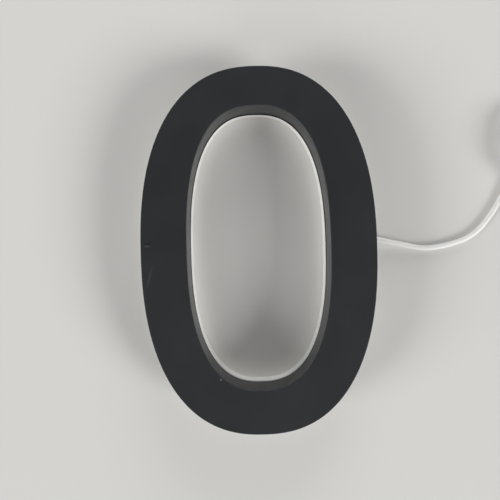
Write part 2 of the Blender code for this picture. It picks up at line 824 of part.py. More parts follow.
def rounded_rectangle(half_width, half_height, corner):
    """Corners of a rectangle with round corners, anticlockwise."""
    points = []
    for quarter in range(4):
        sign_x = 1 if quarter in (0, 3) else -1
        sign_y = 1 if quarter in (0, 1) else -1
        for step in range(STRAP_CORNER_POINTS):
            angle = math.pi / 2 * (quarter + step / (STRAP_CORNER_POINTS - 1))
            points.append(
                (
                    sign_x * (half_width - corner) + corner * math.cos(angle),
                    sign_y * (half_height - corner) + corner * math.sin(angle),
                )
            )
    return np.array(points)


def make_coil(start):
    points, centre = coil_points(start)
    tube("cord_coil", points, CORD_RADIUS, COIL_RESOLUTION, white_pvc)
    print(f"coil: least gap to itself {least_gap(points) * 1000:.2f} mm")

    pitch = CORD_DIAMETER + COIL_GAP
    half_width = pitch * (TURNS_PER_LAYER - 1) / 2 + CORD_RADIUS + 2 * TOUCH_GAP
    half_height = pitch * (COIL_LAYERS - 1) / 2 + CORD_RADIUS + 2 * TOUCH_GAP
    outer = rounded_rectangle(
        half_width + STRAP_THICKNESS, half_height + STRAP_THICKNESS, STRAP_CORNER
    )
    inner = rounded_rectangle(half_width, half_height, STRAP_CORNER - STRAP_THICKNESS)
    band = flat_curve("coil_strap", (outer, inner), STRAP_WIDTH)
    strap = add_part("coil_strap", band, grey_strap)
    strap.rotation_euler = (math.pi / 2, 0, 0)
    strap.location = centre + (COIL_MEAN_RADIUS, 0, pitch * (COIL_LAYERS - 1) / 2)
    return points[-1], lengths_along(points)[-1]


def make_tail(start):
    """The lead from the top of the coil down to the plug beside it."""
    plug_z = PLUG_BODY_RADIUS + CORD_FLOOR_GAP
    begin = start + (0, TOUCH_GAP, 0)
    turn_from = start + (0, TAIL_RUN, 0)
    angles = np.linspace(math.pi, math.pi / 2, TAIL_BEND_POINTS + 1)[1:]
    bend = [
        turn_from + (TAIL_TURN * (1 + math.cos(a)), TAIL_TURN * math.sin(a), 0) for a in angles
    ]
    plug_rear = bend[-1] + (CORD_DIAMETER, 0, 0)
    inside = plug_rear + (PLUG_CORD_DEPTH - TOUCH_GAP, 0, 0)
    route = [begin, begin + (0, CORD_DIAMETER, 0), turn_from, *bend, plug_rear, inside]
    drops = np.clip(np.linspace(*TAIL_DROP_SHARES, len(route)), 0, 1)
    falls = drops**2 * (3 - 2 * drops) * (start[2] - plug_z)
    lowered = [point - (0, 0, fall) for point, fall in zip(route, falls)]
    points = smooth_route(lowered, CORD_SPACING / 2)
    tube("cord_tail", points, CORD_RADIUS, CORD_RESOLUTION, white_pvc)
    return Vector((plug_rear[0], plug_rear[1], plug_z)), lengths_along(points)[-1]


def make_plug(rear):
    """The moulded plug with its ribbed relief, the barrel and the barrel's lining."""
    body_low = PLUG_RELIEF_LENGTH
    front = body_low + PLUG_BODY_LENGTH
    barrel_bore = BARREL_RADIUS + TOUCH_GAP
    relief = [(PLUG_NECK_RADIUS, body_low)]
    pitch = PLUG_RELIEF_LENGTH / (2 * PLUG_GROOVES + 1)
    for groove in range(PLUG_GROOVES):
        high = body_low - pitch * (2 * groove + 1)
        low = high - pitch
        taper = (PLUG_NECK_RADIUS - PLUG_RELIEF_RADIUS) / PLUG_RELIEF_LENGTH
        at_high = PLUG_RELIEF_RADIUS + taper * high
        at_low = PLUG_RELIEF_RADIUS + taper * low
        relief += [
            (at_high, high),
            (at_high - PLUG_GROOVE_DEPTH, high),
            (at_low - PLUG_GROOVE_DEPTH, low),
            (at_low, low),
        ]
    profile = (
        (0, front - BARREL_ROOT),
        (barrel_bore, front - BARREL_ROOT),
        (barrel_bore, front),
        (PLUG_BODY_RADIUS - PLUG_CHAMFER, front),
        (PLUG_BODY_RADIUS, front - PLUG_CHAMFER),
        (PLUG_BODY_RADIUS, body_low + PLUG_CHAMFER),
        (PLUG_BODY_RADIUS - PLUG_CHAMFER, body_low),
        *relief,
        (PLUG_RELIEF_RADIUS, 0),
        (CORD_BORE_RADIUS, 0),
        (CORD_BORE_RADIUS, PLUG_CORD_DEPTH),
        (0, PLUG_CORD_DEPTH),
    )
    body = add_part("plug_body", turned("plug_body", profile, PLUG_STEPS), white_pvc)

    root = front - BARREL_ROOT + TOUCH_GAP
    tip = front + BARREL_LENGTH
    lining = BARREL_RADIUS - BARREL_WALL
    profile = (
        (BARREL_RADIUS - BARREL_CHAMFER, tip),
        (BARREL_RADIUS, tip - BARREL_CHAMFER),
        (BARREL_RADIUS, root),
        (lining, root),
        (lining, tip),
    )
    sleeve = turned("plug_barrel", profile, BARREL_STEPS, closed=True)
    barrel = add_part("plug_barrel", sleeve, nickel)

    lining -= TOUCH_GAP
    tip -= CORE_RECESS
    profile = ((lining, tip), (lining, root), (CORE_BORE_RADIUS, root), (CORE_BORE_RADIUS, tip))
    core = add_part("plug_core", turned("plug_core", profile, BARREL_STEPS, closed=True), black_pvc)
    for piece in (body, barrel, core):
        piece.location = rear
        point_along_x(piece)


clear_scene()
parts = new_collection("house_number_0")
cutters = new_collection("cutters")

black_coat = new_material("black_coat", (0.028, 0.030, 0.033), 0.55, 0.0)
opal_acrylic = new_material("opal_acrylic", (0.86, 0.85, 0.83), 0.30)
foam = new_material("foam", (0.012, 0.012, 0.012), 0.95)
zinc_steel = new_material("zinc_steel", (0.55, 0.55, 0.54), 0.35, 1.0)
brass = new_material("brass", (0.72, 0.53, 0.24), 0.35, 1.0)
white_board = new_material("white_board", (0.80, 0.80, 0.77), 0.50)
led_resin = new_material("led_resin", (0.83, 0.76, 0.45), 0.35)
resistor_black = new_material("resistor_black", (0.02, 0.02, 0.02), 0.45)
red_pvc = new_material("red_pvc", (0.50, 0.02, 0.02), 0.40)
black_pvc = new_material("black_pvc", (0.015, 0.015, 0.015), 0.40)
white_pvc = new_material("white_pvc", (0.78, 0.78, 0.76), 0.45)
white_rubber = new_material("white_rubber", (0.72, 0.72, 0.70), 0.70)
nylon = new_material("nylon", (0.74, 0.74, 0.70), 0.50)
grey_strap = new_material("grey_strap", (0.10, 0.10, 0.10), 0.90)
nickel = new_material("nickel", (0.66, 0.64, 0.60), 0.25, 1.0)

make_face()
make_returns()
make_seals()
make_posts()
make_screws()
make_inserts()
make_acrylic()
make_tape()
make_lamps()
make_cores()
make_cord_inside()
nose_tip = make_grommet()
coil_start, free_length = make_free_stretch(nose_tip)
coil_end, coil_length = make_coil(coil_start)
plug_rear, tail_length = make_tail(coil_end)
make_plug(plug_rear)
print(f"lead: {free_length:.3f} m free, {coil_length:.3f} m coiled, {tail_length:.3f} m to the plug")
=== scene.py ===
import math
import bmesh
import bpy
import numpy as np
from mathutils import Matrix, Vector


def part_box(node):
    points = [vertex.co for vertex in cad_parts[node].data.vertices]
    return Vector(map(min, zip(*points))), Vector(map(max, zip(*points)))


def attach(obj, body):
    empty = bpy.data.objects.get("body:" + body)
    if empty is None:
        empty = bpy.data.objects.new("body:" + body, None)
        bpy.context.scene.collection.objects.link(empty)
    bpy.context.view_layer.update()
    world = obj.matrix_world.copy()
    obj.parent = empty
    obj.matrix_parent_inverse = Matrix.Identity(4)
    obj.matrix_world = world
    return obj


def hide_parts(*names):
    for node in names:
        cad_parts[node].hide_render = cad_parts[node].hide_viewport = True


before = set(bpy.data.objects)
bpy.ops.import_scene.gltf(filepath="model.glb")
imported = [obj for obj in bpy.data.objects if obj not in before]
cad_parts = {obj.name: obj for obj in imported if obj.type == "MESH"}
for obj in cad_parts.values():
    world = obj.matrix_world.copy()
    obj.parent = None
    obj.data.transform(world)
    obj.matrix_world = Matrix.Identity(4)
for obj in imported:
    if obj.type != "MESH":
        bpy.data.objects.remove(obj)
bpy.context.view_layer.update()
print("frame:", len(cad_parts), "nodes")

mm = 0.001  # shapes are worked out in millimetres and become metres when they go into a mesh


def addObject(name, data):
    thing = bpy.data.objects.new(name, data)
    bpy.context.scene.collection.objects.link(thing)
    return thing


# The camera stands as in the photograph, straight above the digit and a little turned.
cameraSettings = {
    "lens": 34.7, "sensor": 36.0, "near": 10.0, "place": (-4.85, 0.24, 288.0), "turn": -0.0265
}


def makeCamera(look):
    data = bpy.data.cameras.new("camera")
    data.lens = look["lens"]
    data.sensor_width = look["sensor"]
    data.clip_start = look["near"] * mm
    camera = addObject("camera", data)
    camera.location = [v * mm for v in look["place"]]
    camera.rotation_euler = (0, 0, look["turn"])
    bpy.context.scene.camera = camera


makeCamera(cameraSettings)


def nodeBox(node):
    low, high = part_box(node)
    return np.array(low) / mm, np.array(high) / mm


def nodeMiddle(node):
    return np.mean(nodeBox(node), axis=0)


def nodeLevels(node):
    low, high = nodeBox(node)
    return low[2], high[2]


def linear(hexText):
    # each sRGB channel c goes to linear light: c / 12.92 when dark, else ((c + 0.055) / 1.055)^2.4
    c = np.array([int(hexText[i : i + 2], 16) for i in (0, 2, 4)]) / 255
    return (*np.where(c <= 0.04045, c / 12.92, ((c + 0.055) / 1.055) ** 2.4), 1.0)


def smoothStep(x):
    x = np.clip(x, 0, 1)
    return x * x * (3 - 2 * x)


def signedPower(x, power):
    return np.sign(x) * np.abs(x) ** power


def evenTurn(steps):
    return 2 * math.pi * np.arange(steps) / steps


def unitRows(vectors):
    return vectors / np.linalg.norm(vectors, axis=1)[:, None]


def travel(line):
    # the distance along a line up to each of its points
    return np.concatenate(([0], np.cumsum(np.linalg.norm(np.diff(line, axis=0), axis=1))))


def roundCorners(corners):
    # A closed polygon, each corner a point and then a radius. A round corner is a parabola of four
    # steps that starts and ends its radius away from the point, on the two edges that meet there.
    corners = np.array(corners, float)
    points = corners[:, :-1]
    t = np.linspace(0, 1, 5)[:, None]
    out = []
    for k, (here, radius) in enumerate(zip(points, corners[:, -1])):
        if radius <= 0:
            out.append(here[None])
            continue
        edges = (points[k - 1] - here, points[(k + 1) % len(points)] - here)
        a, b = (here + edge * min(0.45, radius / np.linalg.norm(edge)) for edge in edges)
        out.append((1 - t) ** 2 * a + 2 * t * (1 - t) * here + t**2 * b)
    return np.vstack(out)


def gridMesh(name, points, closedRows=False, closedColumns=True):
    # Points are rows x columns x 3, in mm. Each face joins a point to its next neighbours, and a
    # closed direction wraps round to its start. The UV map is the length along both, in mm. Points
    # that meet become one, and the faces are turned outward.
    wrap = ((0, int(closedRows)), (0, int(closedColumns)))
    index = np.pad(np.arange(points[..., 0].size).reshape(points.shape[:2]), wrap, "wrap")
    spots = np.pad(points, (*wrap, (0, 0)), "wrap")
    widest = int(np.linalg.norm(np.diff(spots, axis=1), axis=2).sum(axis=1).argmax())
    uv = np.stack(np.meshgrid(travel(spots[widest]), travel(spots[:, 1])), axis=-1)
    faces, corners = (
        np.stack((grid[:-1, :-1], grid[:-1, 1:], grid[1:, 1:], grid[1:, :-1]), axis=2)
        for grid in (index, uv)
    )
    mesh = bpy.data.meshes.new(name)
    mesh.from_pydata(points.reshape(-1, 3) * mm, [], faces.reshape(-1, 4).tolist())
    layer = mesh.uv_layers.new(name="unrolled")
    layer.data.foreach_set("uv", corners.astype(np.float32).ravel())
    work = bmesh.new()
    work.from_mesh(mesh)
    bmesh.ops.remove_doubles(work, verts=work.verts, dist=1e-7)
    bmesh.ops.recalc_face_normals(work, faces=work.faces)
    work.to_mesh(mesh)
    work.free()
    return mesh


def addPiece(mesh, materials, slot, *nodes, sharp=32):
    piece = addObject(mesh.name, mesh)
    for material in materials:
        mesh.materials.append(material)
    mesh.shade_smooth()
    mesh.set_sharp_from_angle(angle=math.radians(sharp))
    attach(piece, "root")
    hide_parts(*nodes)
    return piece


def gridPiece(name, grid, material, slot, *nodes, closed=False, sharp=32):
    return addPiece(gridMesh(name, grid, closed), [material], slot, *nodes, sharp=sharp)


def turnedGrid(profile, place, columns=64, axis="z", shape=None):
    # Rows are the profile's (radius, height) pairs and columns the angles round the axis:
    # (radius cos a, radius sin a, height), with the radius changed by shape(radius, height, angle).
    angle = evenTurn(columns)
    radius, height = (np.array(profile)[:, k, None] * np.ones(columns) for k in (0, 1))
    if shape:
        radius = shape(radius, height, angle)
    around = (radius * np.cos(angle), radius * np.sin(angle))
    order = (*around, height) if axis == "z" else (height, *around)
    return np.stack(order, axis=-1) + np.array(place)


def roundedBox(name, size, soft, place, turn, columns=32):
    # In plan |x/a|^10 + |y/b|^10 = 1. Its rows go up the side and in to the middle at both ends,
    # where a and b are drawn in for the rounding. Then it is turned, and stood on its place.
    long, wide, high = size
    ends = min(long, wide) / 2
    corners = [(ends, 0, 0), (0, 0, soft), (0, high, soft), (ends, high, 0)]
    inset, level = roundCorners(corners).T[..., None]
    angle = evenTurn(columns)
    x, y = signedPower(np.cos(angle), 0.2), signedPower(np.sin(angle), 0.2)
    points = ((long / 2 - inset) * x, (wide / 2 - inset) * y, level * np.ones(columns))
    return gridMesh(name, np.stack(points, axis=-1) @ turn.T + place)


def closedEnds(rows, path):
    # a row drawn in to the path's own end closes each end
    ends = [np.repeat(path[k][None, None], rows.shape[1], axis=1) for k in (0, -1)]
    return np.concatenate((ends[0], rows, ends[1]))


def sweptTube(path, radius, columns=20):
    # Round a path: path + radius (side cos a + up sin a), with side level and square to the path.
    along = unitRows(np.gradient(path, axis=0))
    side = unitRows(np.cross(along, (0, 0, 1)))
    up = np.cross(side, along)
    angle = evenTurn(columns)[:, None]
    ring = side[:, None] * np.cos(angle) + up[:, None] * np.sin(angle)
    return closedEnds(path[:, None] + ring * radius, path)


def joinedMesh(name, meshes, looks=None):
    # looks gives the number of each mesh's material on the joined one
    work = bmesh.new()
    for number, mesh in enumerate(meshes):
        if looks:
            chosen = np.full(len(mesh.polygons), looks[number], np.int32)
            mesh.polygons.foreach_set("material_index", chosen)
        work.from_mesh(mesh)
    joined = bpy.data.meshes.new(name)
    work.to_mesh(joined)
    work.free()
    return joined


def addNode(tree, kind, settings=None, links=None):
    node = tree.nodes.new("ShaderNode" + kind)
    for key, value in (settings or {}).items():
        if isinstance(key, str) and hasattr(node, key):
            setattr(node, key, value)
        else:
            node.inputs[key].default_value = value
    for key, (source, output) in (links or {}).items():
        tree.links.new(source.outputs[output], node.inputs[key])
    return node


def newMaterial(name, sockets):
    material = bpy.data.materials.new(name)
    material.use_nodes = True
    for key, value in sockets.items():
        material.node_tree.nodes["Principled BSDF"].inputs[key].default_value = value
    return material, material.node_tree


def finished(material, colour, height, bump, gloss=None):
    # Colour and gloss go to the shader, and the height as a bump: its strength, and depth in mm.
    tree = material.node_tree
    raised = {"Strength": bump[0], "Distance": bump[1] * mm}
    joints = {"Base Color": (colour, 2)}
    joints["Normal"] = (addNode(tree, "Bump", raised, {"Height": height}), 0)
    if gloss:
        joints["Roughness"] = (gloss, 0)
    for socket, (node, output) in joints.items():
        tree.links.new(node.outputs[output], tree.nodes["Principled BSDF"].inputs[socket])
    return material


def lightInside(weight, depth, spread=(1.0, 0.9, 0.8)):
    # how much of the light goes in, and how far in mm, for red, green and blue
    inside = {"Subsurface Weight": weight, "Subsurface Scale": depth * mm}
    return {**inside, "Subsurface Radius": spread}


def mottledSurface(
    name, sockets, dark, light, mottle, gloss, bump, grain=1.0, lines=None, detail=2.0, lined=False
):
    # A soft mottle changes the colour and the gloss a little. The bump is finer: a grain all over,
    # or lines stretched over the UV map, which may do the gloss too. Sizes are in mm.
    material, tree = newMaterial(name, sockets)
    place = addNode(tree, "TexCoord")
    at = {"Vector": (place, "Object")}
    cloud = {"Scale": 1 / (mottle[0] * mm), "Detail": mottle[1]}
    cloud = addNode(tree, "TexNoise", cloud, at)
    fine = {"Scale": 1 / (grain * mm), "Detail": detail}
    if lines:
        fine["Scale"] = 1.0
        stretched = {"Scale": (1 / lines[0], 1 / lines[1], 1)}
        at = {"Vector": (addNode(tree, "Mapping", stretched, {"Vector": (place, "UV")}), 0)}
    fine = addNode(tree, "TexNoise", fine, at)
    tint = {"data_type": "RGBA", 6: linear(dark), 7: linear(light)}
    colour = addNode(tree, "Mix", tint, {0: (cloud, 0)})
    spread = {"To Min": gloss[0], "To Max": gloss[1]}
    gloss = addNode(tree, "MapRange", spread, {"Value": (fine if lined else cloud, 0)})
    return finished(material, colour, (fine, 0), bump, gloss)


def mouldedPlastic(name, dark, light, roughness, grain, soft=0.0):
    # Moulded plastic and rubber: one even colour with a faint mottle and a fine spark grain.
    sockets = {"Roughness": roughness, "IOR": 1.5, **lightInside(soft, 1.0)}
    gloss = (roughness * 0.85, roughness * 1.15)
    return mottledSurface(name, sockets, dark, light, (6, 3.0), gloss, (0.4, 0.02), grain)


def platedMetal(name, dark, light, roughness, lineSize):
    # Turned metal, bright plated or bare: mirror-like but broken up by fine lathe lines and haze.
    sockets = {"Metallic": 1.0, "Roughness": roughness}
    gloss, lines = (roughness * 0.7, roughness * 1.3), (50, lineSize)
    return mottledSurface(name, sockets, dark, light, (1.5, 4.0), gloss, (0.4, 0.01), lines=lines)


# The lead: an extruded PVC jacket, 3 mm, from the grommet's bore through the coil to the plug.
leadSettings = {
    "diameter": 3.0,
    "length": 1500.0,
    "startInside": 1.5,  # mm behind the acrylic's side, in the grommet's bore
    "spacing": 0.8,
    "exitRise": 4.5,  # mm above the digit's middle
    "rest": 1.55,  # mm, height of the lead's middle where it lies on the surface
    "turnsPerLayer": 3,
    "layers": 4,
    "loopPoints": 120,
    "meanRadius": 17.65,
    "radialPitch": 3.18,
    "layerPitch": 3.10,
    "strapLift": 0.62,  # mm, the coil rises this far over the strap below it
    "strapSpread": 0.55,  # radians each way over which it rises
    "strapTop": 1.6,  # more than 1 keeps it up over the strap's width
    "tailTurn": 17.0,
    "tailLevel": 2.0,  # mm that the tail stays level before it falls
    "insidePlug": 3.6,
    "wobble": 0.035,
}

# The route as seen from above, in metres from the grommet's tip, and the share of the exit's height
# that the lead still has there.
leadRoute = (
    (0.0020, -0.0002, 1.00),
    (0.0080, -0.0016, 0.86),
    (0.0155, -0.0032, 0.60),
    (0.0236, -0.0050, 0.28),
    (0.0290, -0.0057, 0.10),
    (0.0345, -0.0056, 0.00),
    (0.0438, -0.0040, 0.00),
    (0.0510, -0.0020, 0.00),
    (0.0552, -0.0002, 0.00),
    (0.0600, 0.0028, 0.00),
    (0.0654, 0.0080, 0.00),
    (0.0709, 0.0153, 0.00),
    (0.0752, 0.0222, 0.00),
    (0.0796, 0.0310, 0.00),
    (0.0822, 0.0375, 0.00),
    (0.0831, 0.0407, 0.00),
    (0.0831, 0.0437, 0.00),
)


def smoothRoute(points, spacing):
    # A Catmull-Rom curve through the points, read again at an even spacing.
    padded = np.vstack((2 * points[0] - points[1], points, 2 * points[-1] - points[-2]))
    t = np.linspace(0, 1, 40, endpoint=False)[:, None]
    pieces = []
    for a, b, c, d in zip(padded, padded[1:], padded[2:], padded[3:]):
        bend = (2 * a - 5 * b + 4 * c - d) * t**2 + (3 * b - a - 3 * c + d) * t**3
        pieces.append(b + ((c - a) * t + bend) / 2)
    dense = np.vstack((*pieces, points[-1:]))
    travelled = travel(dense)
    places = np.linspace(0, travelled[-1], round(travelled[-1] / spacing) + 1)
    return np.column_stack([np.interp(places, travelled, dense[:, k]) for k in range(3)])


def leadPath(look):
    # Out of the grommet, down to the surface and along it, then the coil, then over to the plug.
    spacing, rest, pitch = look["spacing"], look["rest"], look["radialPitch"]
    level = nodeMiddle("cord_grommet")[2]
    tip = np.array((nodeBox("cord_grommet")[1][0], look["exitRise"], level))
    start = (nodeBox("acrylic_back")[1][0] - look["startInside"], *tip[1:])
    seen = [tip + (x / mm, y / mm, (share - 1) * (level - rest)) for x, y, share in leadRoute]
    free = smoothRoute(np.vstack((start, tip, *seen)), spacing)

    # The coil winds clockwise in flat layers: its radius falls and grows again by one pitch a turn,
    # and it climbs one layer in the half turn round each turning back.
    inLayer, layers, points = look["turnsPerLayer"], look["layers"], look["loopPoints"]
    turns = np.arange(layers * inLayer * points + 1) / points
    outer = look["meanRadius"] + pitch * inLayer / 2
    folded = inLayer - np.abs(turns % (2 * inLayer) - inLayer)
    angle = math.pi - 2 * math.pi * turns
    radius = outer - pitch * folded + look["wobble"] * np.sin(3.0 * angle + turns)
    climbed = sum(smoothStep(2 * (turns - k * inLayer) + 0.5) for k in range(1, layers))
    fromStrap = np.abs((angle + math.pi) % (2 * math.pi) - math.pi)
    lift = look["strapLift"] * smoothStep(look["strapTop"] - fromStrap / look["strapSpread"])
    centre = free[-1] + (outer, look["diameter"], 0)
    x, y = centre[0] + radius * np.cos(angle), centre[1] + radius * np.sin(angle)
    coil = np.column_stack((x, y, rest + look["layerPitch"] * climbed + lift))

    # The tail runs straight on, turns a quarter circle to the right and falls to the plug's height.
    plug = (nodeBox("plug_body")[0][0], *nodeMiddle("plug_body")[1:])
    begin, turn, flat = coil[-1], look["tailTurn"], look["tailLevel"]
    run = plug[1] - turn - begin[1]
    quarter = turn * math.pi / 2
    last = plug[0] + look["insidePlug"] - (begin[0] + turn)
    s = np.arange(spacing, run + quarter + last, spacing)
    bent = np.clip((s - run) / turn, 0, math.pi / 2)
    x = begin[0] + turn * (1 - np.cos(bent)) + np.clip(s - run - quarter, 0, None)
    y = begin[1] + np.minimum(s, run) + turn * np.sin(bent)
    z = begin[2] + (plug[2] - begin[2]) * smoothStep((s - flat) / (run + quarter - flat))
    return np.vstack((free, coil[1:], np.column_stack((x, y, z)))), centre


# Extruded soft PVC: smooth and slightly waxy, with faint draw lines along its length.
whiteJacket = mottledSurface(
    "whitePvcJacket",
    {"Roughness": 0.38, "IOR": 1.52, **lightInside(0.15, 0.8)},
    "f1f1ee",
    "f8f8f6",
    mottle=(9, 3.0),
    lines=(0.5, 25.0),
    gloss=(0.30, 0.46),
    bump=(0.3, 0.015),
)
leadLine, coilCentre = leadPath(leadSettings)
leadTube = sweptTube(leadLine, leadSettings["diameter"] / 2)
cordNodes = ("cord_free", "cord_coil", "cord_tail")
lead = gridPiece("lead", leadTube, whiteJacket, "white_pvc", *cordNodes)
print(f"lead: {travel(leadLine)[-1]:.0f} mm")


# Grommet: white rubber, a flange against the acrylic and a short ringed nose round the lead.
grommetSettings = {
    "bore": 1.53,
    "stem": (2.7, 4.0),  # mm, radius and depth
    "flange": (3.6, 0.3, 1.5),  # mm, radius, and where it starts and ends outside the acrylic
    "nose": (2.75, 2.05, 5.1),  # mm, radius at its root and tip, and where it ends
    "rings": 3,
    "ringDepth": 0.22,
}
acrylicSide = nodeBox("cord_grommet")[0][0] + grommetSettings["stem"][1]


def makeGrommet(look):
    flange, near, far = look["flange"]
    stem, depth = look["stem"]
    root, tip, end = look["nose"]
    bore, halves = look["bore"], 2 * look["rings"]
    corners = [(bore, -depth, 0.15), (stem, -depth, 0.2), (stem, near, 0), (flange, near, 0.15)]
    corners += [(flange, far, 0.45), (root + 0.3, far, 0.3)]
    for half in range(halves):
        up = 0.45 + (end - far - 0.6) / halves * (half + 0.5)
        radius = root + (tip - root) / (end - far) * up - half % 2 * look["ringDepth"]
        corners.append((radius, far + up, 0.12))
    corners += [(tip, end, 0.25), (bore, end, 0.1)]
    grid = turnedGrid(roundCorners(corners), (acrylicSide, *leadLine[0][1:]), axis="x")
    return gridPiece("grommet", grid, whiteRubber, "white_rubber", "cord_grommet", closed=True)


whiteRubber = mouldedPlastic("whiteMouldedRubber", "dededa", "e8e8e4", 0.62, 0.18, soft=0.1)
grommet = makeGrommet(grommetSettings)


# Strap: a woven hook-and-loop band round the coil, closed by a tab that laps over on top.
strapSettings = {
    "width": 4.2,
    "thickness": 0.55,
    "slack": 0.12,
    "exponent": 5.0,
    "lap": 9.0,
    "start": 0.9,  # radians, where it begins
    "stepOut": (0.55, 0.5, 0.08),  # radians before a full turn, radians long, and mm of gap
    "tabEnd": (0.25, 0.5),  # its last radians, and the mm that they lift by
    "thread": 0.35,
}


def wovenStrap(look):
    # Woven nylon with a napped loop face: dark grey and matt, a fine over-and-under of threads.
    sockets = {"Roughness": 0.9, "Sheen Weight": 0.35, "Sheen Roughness": 0.5}
    material, tree = newMaterial("wovenNylonStrap", sockets)
    place = addNode(tree, "TexCoord")
    wave = math.pi / look["thread"]
    threads = addNode(tree, "Mapping", {"Scale": (wave, wave, 0)}, {"Vector": (place, "UV")})
    parts = addNode(tree, "SeparateXYZ", {}, {0: (threads, 0)})
    sines = [addNode(tree, "Math", {"operation": "SINE"}, {0: (parts, k)}) for k in (0, 1)]
    weave = addNode(tree, "Math", {"operation": "MULTIPLY"}, {k: (sines[k], 0) for k in (0, 1)})
    fluff = {"Scale": 1 / (0.25 * mm), "Detail": 5.0}
    nap = addNode(tree, "TexNoise", fluff, {"Vector": (place, "Object")})
    half = {"operation": "MULTIPLY_ADD", 1: 0.5}
    height = addNode(tree, "Math", half, {0: (weave, 0), 2: (nap, 0)})
    tint = {"data_type": "RGBA", 6: linear("2e2f31"), 7: linear("636467")}
    colour = addNode(tree, "Mix", tint, {0: (height, 0)})
    return finished(material, colour, (height, 0), (0.8, 0.12))


def makeStrap(look):
    # Its line is a superellipse |x/a|^n + |z/b|^n = 1 round the coil's section, run on past its
    # start one thickness further out. Its own section is a flat superellipse, carried along it.
    coil, thickness, power = leadSettings, look["thickness"], 2 / look["exponent"]
    half = thickness / 2 + look["slack"] + coil["diameter"] / 2
    stack = coil["layerPitch"] * (coil["layers"] - 1) / 2
    a = coil["radialPitch"] * (coil["turnsPerLayer"] - 1) / 2 + half
    b = stack + half
    lap = look["lap"] / (0.86 * 4 * (a + b))  # as a share of the line, a box with cut corners
    t = np.linspace(0, 2 * math.pi * (1 + lap), 220) + look["start"]
    (before, long, gap), (tab, lifted) = look["stepOut"], look["tabEnd"]
    out = smoothStep((t - t[0] - 2 * math.pi + before) / long) * (thickness + gap)
    rise = smoothStep((t - t[-1] + tab) / tab) * lifted
    x = (a + out) * signedPower(np.cos(t), power)
    z = (b + out + rise) * signedPower(np.sin(t), power)
    level = coil["rest"] + coil["strapLift"] + stack
    middle = (coilCentre[0] + coil["meanRadius"], coilCentre[1], level)
    line = np.column_stack((x, np.zeros_like(x), z)) + middle
    across = np.array((0.0, 1.0, 0.0))
    outward = np.cross(across, unitRows(np.gradient(line, axis=0)))
    angle = evenTurn(24)[:, None]
    wide = look["width"] / 2 * signedPower(np.cos(angle), 0.4)
    thick = thickness / 2 * signedPower(np.sin(angle), 0.8)
    grid = closedEnds(line[:, None] + wide * across + thick * outward[:, None], line)
    return gridPiece("coilStrap", grid, wovenStrap(look), "grey_strap", "coil_strap", sharp=50)


strap = makeStrap(strapSettings)


# Plug: a moulded body with a slotted relief, fluted for the fingers, and a 5.5 mm nickel barrel.
plugSettings = {
    "relief": (3.1, 4.0, 10.0),  # mm, radius at its thin and thick ends, and length
    "slots": (4, 0.62),  # pairs along the relief, and depth in mm
    "web": (0.22, 0.12),  # cosines, half the width of a web and the slope at its side
    "body": (5.0, 18.0),  # mm, radius and length
    "rows": (110, 60),  # along the relief and the body
    "leadBore": (1.53, 4.0),
    "flutes": (26, 0.2),
    "fluteRun": (12.8, 24.0, 1.2),  # mm, where they begin and end, and over how far they fade
    "parting": (0.05, 0.035),  # mm high, and half its width as a sine
    "barrel": (2.75, 2.25, 9.5),  # mm, radius outside and inside, and reach
    "barrelRoot": 3.0,
    "coreBore": 1.05,
    "coreRecess": 0.4,
}


